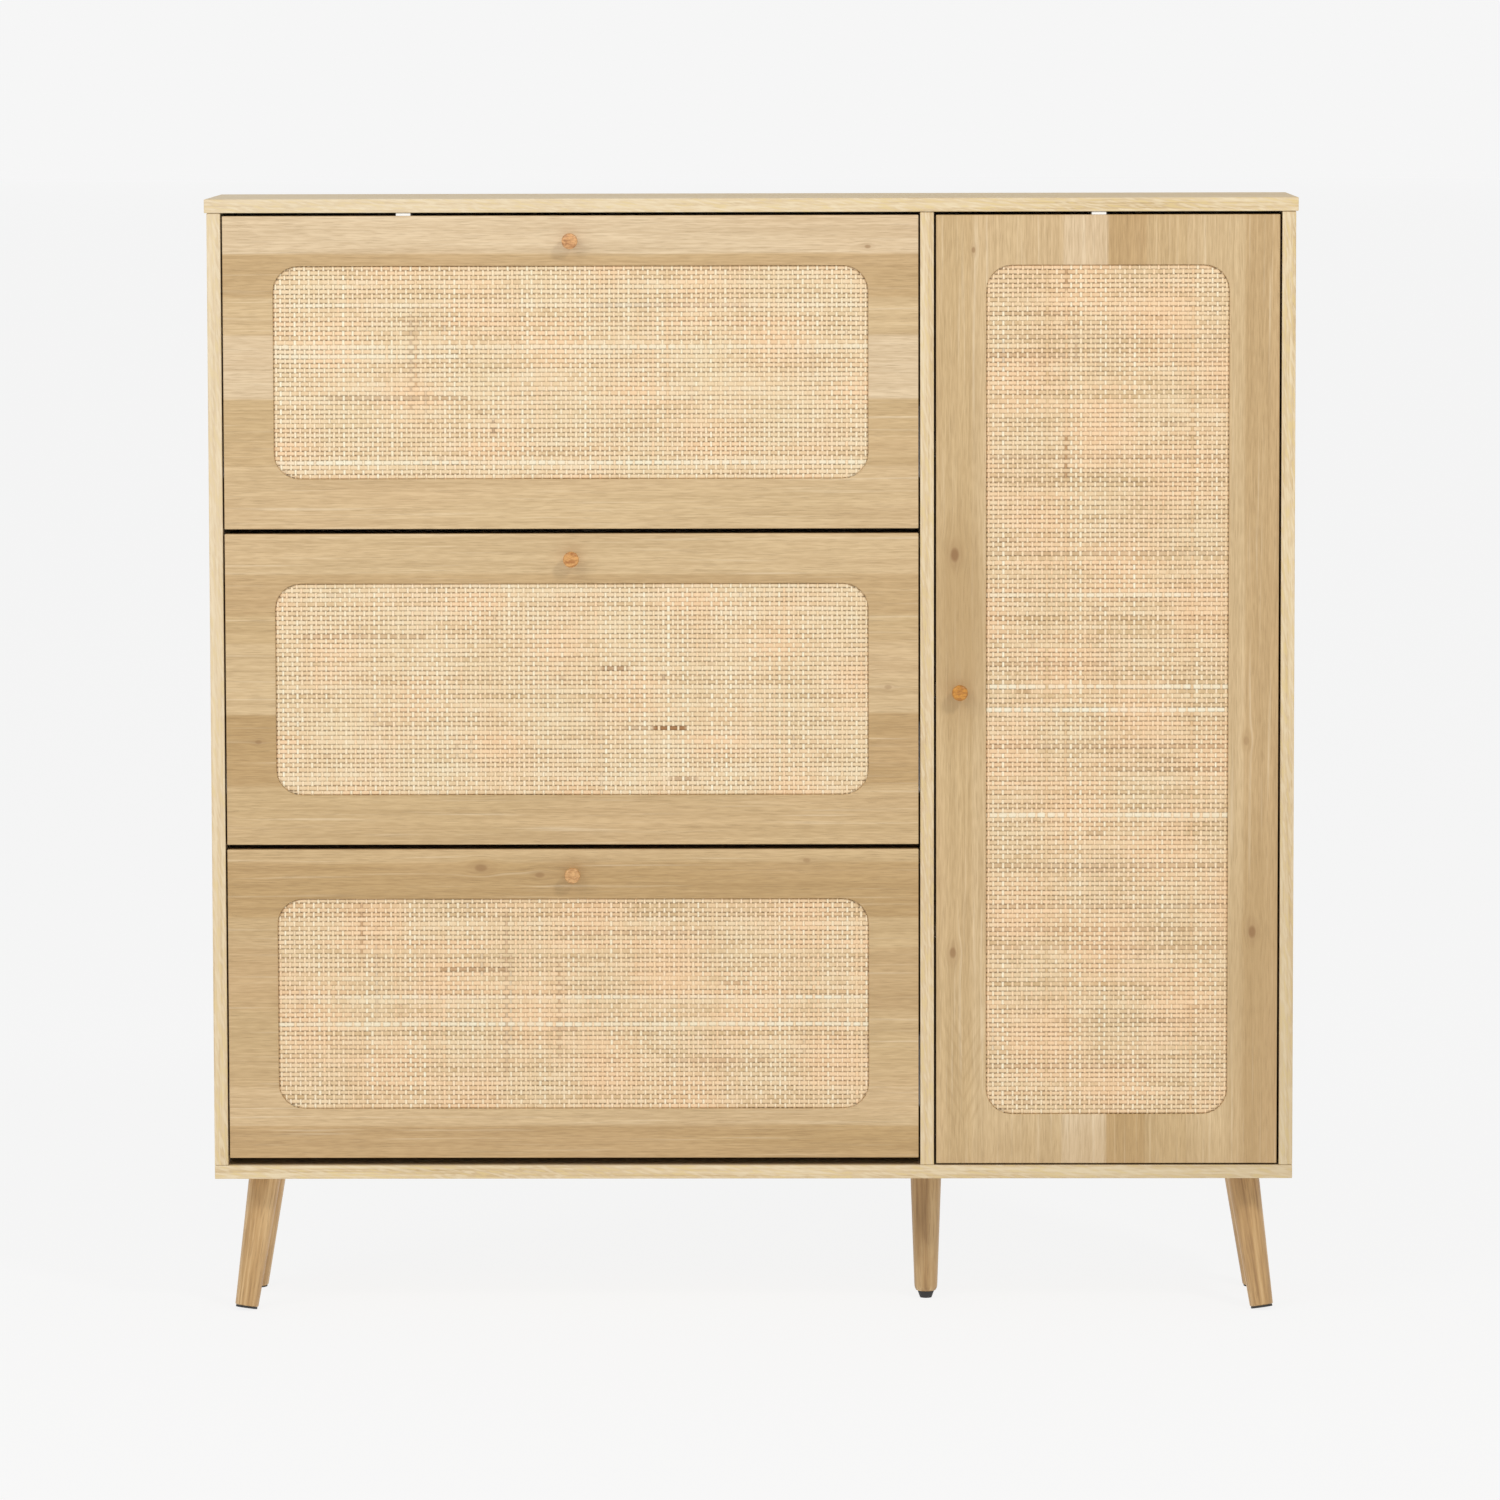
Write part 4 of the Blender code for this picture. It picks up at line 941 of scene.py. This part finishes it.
def strand_colours(rng, along, aside, strand, count, stretches, paleness, warmth_and_shade):
    """Tone, warmth and darkness of every point.

    Each strand has its own tone, drifting along it as three sines of random phase, and broad patches of the
    stretches: (place across the weave, start, end, darkness) of the strands that turn
    dark brown there, or nearly white where the darkness is below 0. The last argument reddens all the
    strands, and darkens them as painted shade where the light falls off.
    """
    pale_share, lighter, spread = paleness
    # the darkening by the last argument is painted shade, for the lower flap and the door where the light
    # falls off
    tone = 0.45 + lighter - 0.35 * warmth_and_shade + rng.normal(0, spread, count)
    pale = rng.random(count) < pale_share
    tone[pale] = rng.uniform(0.66, 0.88, pale.sum())
    dull = rng.random(count) < 0.08
    tone[dull] -= 0.12
    own = tone[strand][:, None] + 0 * along
    for length, size in ((0.35, 0.05), (0.11, 0.05), (0.035, 0.04)):
        turn = rng.uniform(0, 6.28, count)[strand][:, None]
        own = own + size * np.sin(along * 6.283 / length + turn)
    own = own + rng.normal(0, 0.035, along.shape[0])[:, None]
    warm = 0.42 + warmth_and_shade + rng.normal(0, 0.13, count)[strand][:, None]
    warm = warm + 0.22 * np.sin(along / 0.041 + aside / 0.023 + rng.uniform(0, 6.28))
    warm = warm + 0.16 * np.sin(along / 0.019 - aside / 0.031 + rng.uniform(0, 6.28))
    dark = np.zeros_like(own)
    places = np.linspace(aside.min(), aside.max(), count)
    flecks = [
        (rng.choice(places), start, start + rng.uniform(0.008, 0.035), rng.uniform(0.10, 0.30))
        for start in rng.uniform(along.min(), along.max(), count // 6)
    ]
    for place, start, end, depth in list(stretches) + flecks:
        chosen = strand == np.argmin(np.abs(places - place))
        inside = np.clip((along - start) / 0.004, 0, 1) * np.clip((end - along) / 0.004, 0, 1)
        if depth > 0:
            dark = np.where(chosen[:, None], np.maximum(dark, inside * depth), dark)
        else:
            own = np.where(chosen[:, None], np.maximum(own, -inside * depth), own)
    return np.clip(np.stack([own, warm, dark, np.ones_like(own)], axis=-1), 0, 1)


def cane_finish(name, run, shade):
    """Split cane: the colour of each strand, with lengthwise fibres."""
    finish = Finish(name, roughness=0.55, specular=0.35)
    where = finish.place()
    strand = finish.node("ShaderNodeAttribute", {"attribute_name": "strand"}, {})
    split = finish.node("ShaderNodeSeparateColor", {}, [strand]).socket.node
    tone, warm, dark = [Flow(finish, output) for output in split.outputs[:3]]
    fibres = finish.noise(finish.scaled(where, along_grain(run, 45, 2200)), 2.0, 0.7)
    tone = tone + (fibres - 0.5) * 0.22
    colour = finish.ramp(tone, [(place, [part * shade for part in tint]) for place, tint in CANE_TONES])
    colour = finish.mixed(warm.between(0.40, 1.0) * 0.42, colour, CANE_WARM)
    colour = finish.mixed(warm.between(0.0, 0.40, 0.20, 0.0), colour, CANE_GREEN)
    colour = finish.mixed(dark, colour, CANE_BROWN)
    finish.feed("Base Color", colour)
    finish.feed("Roughness", 0.48 + fibres * 0.20)
    finish.relief(fibres, 0.00010)
    return finish


def put_strands(name, points, faces, colours, strand, finish, body):
    """Makes the strands straight from their arrays, side by side in as many pieces as MOST_FACES asks."""
    parts = 1 + len(faces) // MOST_FACES
    part_of = strand[faces[:, 0] // CORNERS] * parts // (strand.max() + 1)
    for part in range(parts):
        used, corners = np.unique(faces[part_of == part], return_inverse=True)
        own_name = name if parts == 1 else f"{name}_{part + 1}"
        own_points = points.reshape(-1, 3)[used]
        own_colours = colours.reshape(-1, 4)[used]
        put_part(own_name, own_points, corners.reshape(-1, 4), own_colours, finish, body)


def put_part(name, points, faces, colours, finish, body):
    """Makes one large piece, with the strand colours on its points."""
    mesh = bpy.data.meshes.new(name)
    mesh.vertices.add(len(points))
    mesh.vertices.foreach_set("co", points.astype(np.float32).ravel())
    mesh.loops.add(faces.size)
    mesh.loops.foreach_set("vertex_index", faces.astype(np.int32).ravel())
    mesh.polygons.add(len(faces))
    mesh.polygons.foreach_set("loop_start", np.arange(0, faces.size, 4, dtype=np.int32))
    mesh.update(calc_edges=True)
    mesh.validate()
    mesh.shade_smooth()
    layer = mesh.color_attributes.new("strand", "FLOAT_COLOR", "POINT")
    layer.data.foreach_set("color", colours.astype(np.float32).ravel())
    mesh.materials.append(finish.material)
    made = bpy.data.objects.new(name, mesh)
    bpy.context.scene.collection.objects.link(made)
    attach(made, body)


cane_across = cane_finish("cane across", "across", WEFT_SHADE)
cane_up = cane_finish("cane up", "up", WARP_SHADE)
backing = printed_sheet("cane backing", (0.86, 0.63, 0.38), (0.74, 0.52, 0.30))


def weave(leaf, seed, weft_stretches, warp_stretches, warmth_and_shade):
    """Fills a leaf's window: the weft runs across, and the warp runs up, over it and under it by turns."""
    rng = np.random.default_rng(seed)
    low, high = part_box(f"{leaf}_frame")
    middle_x, middle_z = (low[0] + high[0]) / 2, (low[2] + high[2]) / 2
    half_x = (high[0] - low[0]) / 2 - FRAME_RAIL
    half_z = (high[2] - low[2]) / 2 - FRAME_RAIL
    face_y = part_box(f"{leaf}_cane_panel")[0][1] - WEAVE_RISE - STRAND_THICKNESS / 2 - WEAVE_GAP
    warps = round(2 * half_x / WARP_PITCH)
    wefts = round(2 * half_z / WEFT_PITCH)
    along, aside, height, faces, strand = strand_set(rng, half_z, half_x, wefts, warps, WEFT_WIDTH, 0)
    colours = strand_colours(rng, along, aside, strand, wefts, weft_stretches, WEFT_PALE, warmth_and_shade)
    points = np.stack([middle_x + along, face_y - height, middle_z + aside], axis=-1)
    put_strands(f"{leaf}_weft", points, faces, colours, strand, cane_across, leaf)
    along, aside, height, faces, strand = strand_set(rng, half_x, half_z, warps, wefts, WARP_WIDTH, 1)
    colours = strand_colours(rng, along, aside, strand, warps, warp_stretches, WARP_PALE, warmth_and_shade)
    points = np.stack([middle_x + aside, face_y - height, middle_z + along], axis=-1)
    put_strands(f"{leaf}_warp", points, faces[:, ::-1], colours, strand, cane_up, leaf)


# (place across the weave, start, end, darkness), from the window's middle
WEFT_STRETCHES = {
    "flap_1": [(-0.029, -0.269, -0.107, 0.35), (0.018, -0.330, -0.120, -0.80), (0.074, 0.02, 0.20, 0.22)],
    "flap_2": [
        (-0.046, 0.087, 0.128, 0.95),
        (-0.046, 0.055, 0.087, 0.35),
        (0.025, 0.030, 0.064, 0.60),
        (-0.101, 0.105, 0.140, 0.50),
        (0.062, -0.30, -0.16, 0.30),
    ],
    "flap_3": [(0.0385, -0.150, -0.072, 0.50), (-0.064, 0.10, 0.22, 0.30), (0.082, -0.02, 0.16, 0.28)],
    "door": [
        (0.421, -0.134, -0.030, 0.22),
        (0.395, -0.134, 0.134, 0.18),
        (0.371, -0.134, -0.040, 0.32),
        (0.261, -0.134, 0.134, 0.23),
        (0.151, -0.134, 0.134, 0.27),
        (0.0326, -0.134, 0.010, 0.25),
        (-0.0613, -0.134, 0.134, 0.32),
        (-0.0866, 0.0, 0.134, 0.30),
        (-0.196, -0.134, 0.134, 0.29),
        (-0.238, -0.134, 0.134, 0.26),
        (-0.268, -0.134, 0.134, 0.30),
        (-0.2875, -0.134, 0.134, 0.24),
        (-0.367, -0.060, 0.134, 0.23),
        (-0.420, -0.134, 0.050, 0.24),
    ],
}
WARP_STRETCHES = {
    "flap_1": [
        (-0.176, -0.044, 0.066, 0.45),
        (-0.171, -0.020, 0.060, 0.30),
        (-0.0855, -0.072, -0.050, 0.70),
        (-0.250, -0.117, 0.117, -0.97),
    ],
    "flap_2": [(0.102, 0.004, 0.022, 0.55), (-0.22, -0.117, 0.117, -0.85), (0.032, -0.117, -0.02, 0.25)],
    "flap_3": [
        (-0.2366, 0.048, 0.114, 0.55),
        (-0.217, -0.02, 0.09, 0.30),
        (-0.0733, -0.0835, 0.109, 0.42),
        (-0.067, -0.050, 0.060, 0.30),
        (-0.0149, -0.0615, 0.048, 0.45),
    ],
    "door": [
        (-0.0475, 0.440, 0.470, 0.60),
        (-0.0475, 0.233, 0.284, 0.60),
        (-0.033, 0.360, 0.402, 0.42),
        (-0.118, 0.354, 0.388, 0.40),
        (0.064, -0.30, 0.05, -0.85),
    ],
}
# Per leaf: redder cane, and a darkening that is painted shade where the light falls off, on the lower flap
# and the door.
CANE_WARMTH_AND_SHADE = {"flap_1": 0.0, "flap_2": 0.0, "flap_3": 0.17, "door": 0.20}
for seed, leaf in enumerate(("flap_1", "flap_2", "flap_3", "door"), start=41):
    weave(leaf, seed, WEFT_STRETCHES[leaf], WARP_STRETCHES[leaf], CANE_WARMTH_AND_SHADE[leaf])
paint([f"flap_{n}_cane_panel" for n in (1, 2, 3)] + ["door_cane_panel"], backing)


# The cane panels' edges are held in the rebate by wire staples shot into the back of the frame.
STAPLE_SPACING = 0.062
STAPLE_LENGTH = 0.010
STAPLE_WIRE = 0.0007
STAPLE_INSET = 0.0042  # from the panel's edge
STAPLE_FROM_CORNER = 0.045


def staples(leaf):
    low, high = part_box(f"{leaf}_cane_panel")
    shapes = []
    for run, cross in ((0, 2), (2, 0)):
        first_place, last_place = low[run] + STAPLE_FROM_CORNER, high[run] - STAPLE_FROM_CORNER
        count = int((last_place - first_place) / STAPLE_SPACING) + 1
        stations = np.linspace(first_place, last_place, count)
        for place in (low[cross] + STAPLE_INSET, high[cross] - STAPLE_INSET):
            for station in stations:
                first, last = [0, 0, 0], [0, 0, 0]
                first[run], last[run] = station - STAPLE_LENGTH / 2, station + STAPLE_LENGTH / 2
                first[cross], last[cross] = place - STAPLE_WIRE / 2, place + STAPLE_WIRE / 2
                first[1], last[1] = high[1] - 0.0002, high[1] + 0.0005
                shapes.append(rounded_box(first, last, 0.0003, 1))
    put(f"{leaf}_staples", joined_up(shapes), steel, leaf)


for leaf in ("flap_1", "flap_2", "flap_3", "door"):
    staples(leaf)


# Knobs: small turned hardwood, stained warm and lacquered, each held by a screw through the frame.
KNOB_SIDES = 40
KNOB_PROFILE = [
    (0.0060, 0.0001),
    (0.0061, 0.0012),
    (0.0056, 0.0030),
    (0.0055, 0.0050),
    (0.0060, 0.0072),
    (0.0073, 0.0094),
    (0.0083, 0.0116),
    (0.00865, 0.0140),
    (0.00875, 0.0160),
    (0.00865, 0.0175),
    (0.00835, 0.0187),
    (0.00780, 0.0194),
    (0.00700, 0.0197),
    (0.00450, 0.01985),
    (0.00200, 0.01995),
    (0.00005, 0.0200),
]


def knob_finish(name, dark, light, shift):
    """Stained end grain: soft rays and growth lines across the disc, turning marks round it."""
    finish = Finish(name, roughness=0.36, specular=0.5)
    finish.set("Coat Weight", 0.25)
    finish.set("Coat Roughness", 0.25)
    where = finish.place()
    lines = finish.noise(finish.scaled(where, (150, 150, 420), (shift, 0, 0)), 3.0, 0.6, 0.4)
    flecks = finish.noise(finish.scaled(where, (1300, 1300, 500), (0, 0, shift)), 2.0)
    colour = finish.mixed(lines.between(0.32, 0.68), dark, light)
    colour = finish.mixed(flecks.between(0.56, 0.74) * 0.4, colour, [0.5 * part for part in dark])
    finish.feed("Base Color", colour)
    finish.feed("Roughness", 0.30 + flecks * 0.16)
    finish.relief(lines, 0.00008)
    return finish


def fit_knob(leaf, dark, light, shift):
    low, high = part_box(f"{leaf}_knob")
    x, z = (low[0] + high[0]) / 2, (low[2] + high[2]) / 2
    front, back = (corner[1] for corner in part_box(f"{leaf}_frame"))
    place = facing((x, front, z), (0, -1, 0))
    finish = knob_finish(f"{leaf} knob stain", dark, light, shift)
    shape = copied(turned(KNOB_PROFILE, KNOB_SIDES), [place])
    made = put(f"{leaf}_turned_knob", shape, finish, leaf)
    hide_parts(f"{leaf}_knob")
    head = copied(screw_head(0.0040, 0.0018), [facing((x, back, z), (0, 1, 0))])
    put(f"{leaf}_knob_screw", head, steel, leaf)


fit_knob("flap_1", (0.38, 0.160, 0.052), (0.72, 0.385, 0.155), 1.0)
fit_knob("flap_2", (0.40, 0.150, 0.028), (0.70, 0.36, 0.11), 2.3)
fit_knob("flap_3", (0.42, 0.200, 0.065), (0.70, 0.40, 0.16), 3.9)
fit_knob("door", (0.38, 0.140, 0.012), (0.62, 0.27, 0.028), 5.1)


# Tip-out gear: black moulded quadrant brackets screwed to the frame's back, turning on steel plates with
# a pin and a stop peg. Thin melamine faced boards screwed between the brackets make the two racks.
FLANGE_SCREW_INSET = 0.016
FLANGE_SCREW_HEIGHTS = (0.046, 0.120, 0.205)
DIVIDER_SCREW_HEIGHTS = (0.045, 0.130)
SHELF_SCREW_REACHES = (0.025, 0.075)
PLATE_MARGIN = 0.008
PLATE_THICKNESS = 0.002
PLATE_SCREW_SHARES = (0.36, 0.68)  # of the way up the plate's diagonal
black = moulded("bracket plastic", (0.060, 0.055, 0.050), 0.48, 0.12)
rack_print = printed_sheet("rack melamine", (0.73, 0.61, 0.445), (0.55, 0.43, 0.28), "across", 0.35)
screw_flush = screw_head(0.0030, 0.0005)
for number in (1, 2, 3):
    flap = f"flap_{number}"
    paint([f"{flap}_bracket_left", f"{flap}_bracket_right"], black)
    paint([f"{flap}_pivot_left", f"{flap}_pivot_right"], steel)
    paint([f"{flap}_rack_floor", f"{flap}_rack_divider", f"{flap}_rack_shelf"], rack_print)
    flap_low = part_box(f"{flap}_frame")[0][2]
    divider_rack_low, divider_rack_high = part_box(f"{flap}_rack_divider")
    shelf_low, shelf_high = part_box(f"{flap}_rack_shelf")
    floor_low, floor_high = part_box(f"{flap}_rack_floor")
    flange_back = floor_low[1] - 0.0003
    rack_y = (divider_rack_low[1] + divider_rack_high[1]) / 2
    shelf_z = (shelf_low[2] + shelf_high[2]) / 2
    board_ends = [(rack_y, divider_rack_low[2] + rise) for rise in DIVIDER_SCREW_HEIGHTS]
    board_ends += [(shelf_low[1] + reach, shelf_z) for reach in SHELF_SCREW_REACHES]
    board_ends += [((floor_low[1] + floor_high[1]) / 2, (floor_low[2] + floor_high[2]) / 2)]
    heads, plate_heads = [], []
    for side, inward in (("left", 1), ("right", -1)):
        bracket_low, bracket_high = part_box(f"{flap}_bracket_{side}")
        outer = bracket_low[0] if inward > 0 else bracket_high[0]
        flange_x = outer + inward * FLANGE_SCREW_INSET
        for height in FLANGE_SCREW_HEIGHTS:
            heads.append(facing((flange_x, flange_back, flap_low + height), (0, 1, 0)))
        for y, z in board_ends:
            heads.append(facing((outer + inward * 0.0001, y, z), (-inward, 0, 0)))
        plate_low, plate_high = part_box(f"{flap}_pivot_{side}")
        wall = plate_low[0] if inward > 0 else plate_high[0]
        for share in PLATE_SCREW_SHARES:
            y = plate_low[1] + PLATE_MARGIN + share * (plate_high[1] - plate_low[1] - 2 * PLATE_MARGIN)
            z = plate_low[2] + PLATE_MARGIN + share * (plate_high[2] - plate_low[2] - 2 * PLATE_MARGIN)
            plate_heads.append(facing((wall + inward * PLATE_THICKNESS, y, z), (inward, 0, 0)))
    put(f"{flap}_screws", copied(screw_flush, heads), steel, flap)
    put(f"{flap}_plate_screws", copied(screw_flush, plate_heads), steel, "carcass")


# Door hinges: pressed nickel cups pushed into bores in the door's back, with winged flanges, and cranked
# arms on plates screwed to the side.
WING_PLACE = 0.0245  # above and below the cup's middle
WING_HALF = (0.0065, 0.0075)
WING_SCREW_PLACE = 0.0270
LINK_SIDE = 0.0105  # towards the door's middle
LINK_HALF_HEIGHT = 0.0060
LINK_DEPTH = 0.0085
ARM_SCREW_FRONT = 0.030
ARM_SCREW_REAR = 0.018
ARM_HEIGHT = 0.0165
screw_wood = screw_head(0.0034, 0.0014)
wings, cup_heads, arm_heads, links = [], [], [], []
for number in (1, 2):
    paint([f"door_hinge_cup_{number}", f"door_hinge_arm_{number}"], steel)
    cup_low, cup_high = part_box(f"door_hinge_cup_{number}")
    x, z = (cup_low[0] + cup_high[0]) / 2, (cup_low[2] + cup_high[2]) / 2
    back = cup_high[1]
    for away in (-1, 1):
        wing_z = z + away * WING_PLACE
        low = (x - WING_HALF[0], flap_back, wing_z - WING_HALF[1])
        high = (x + WING_HALF[0], back - 0.0001, wing_z + WING_HALF[1])
        wings.append(rounded_box(low, high, 0.0005))
        cup_heads.append(facing((x, back - 0.0001, z + away * WING_SCREW_PLACE), (0, 1, 0)))
    low = (x - LINK_SIDE, flap_back - LINK_DEPTH, z - LINK_HALF_HEIGHT)
    high = (x + 0.0060, back - 0.0014, z + LINK_HALF_HEIGHT)
    links.append(rounded_box(low, high, 0.0015))
    arm_low, arm_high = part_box(f"door_hinge_arm_{number}")
    for y in (arm_low[1] + ARM_SCREW_FRONT, arm_high[1] - ARM_SCREW_REAR):
        arm_heads.append(facing((arm_high[0] - ARM_HEIGHT, y, z), (-1, 0, 0)))
put("hinge_wings", joined_up(wings + [copied(screw_wood, cup_heads)]), steel, "door")
put("hinge_links", joined_up(links), steel, "door")
put("hinge_arm_screws", copied(screw_wood, arm_heads), steel, "carcass")
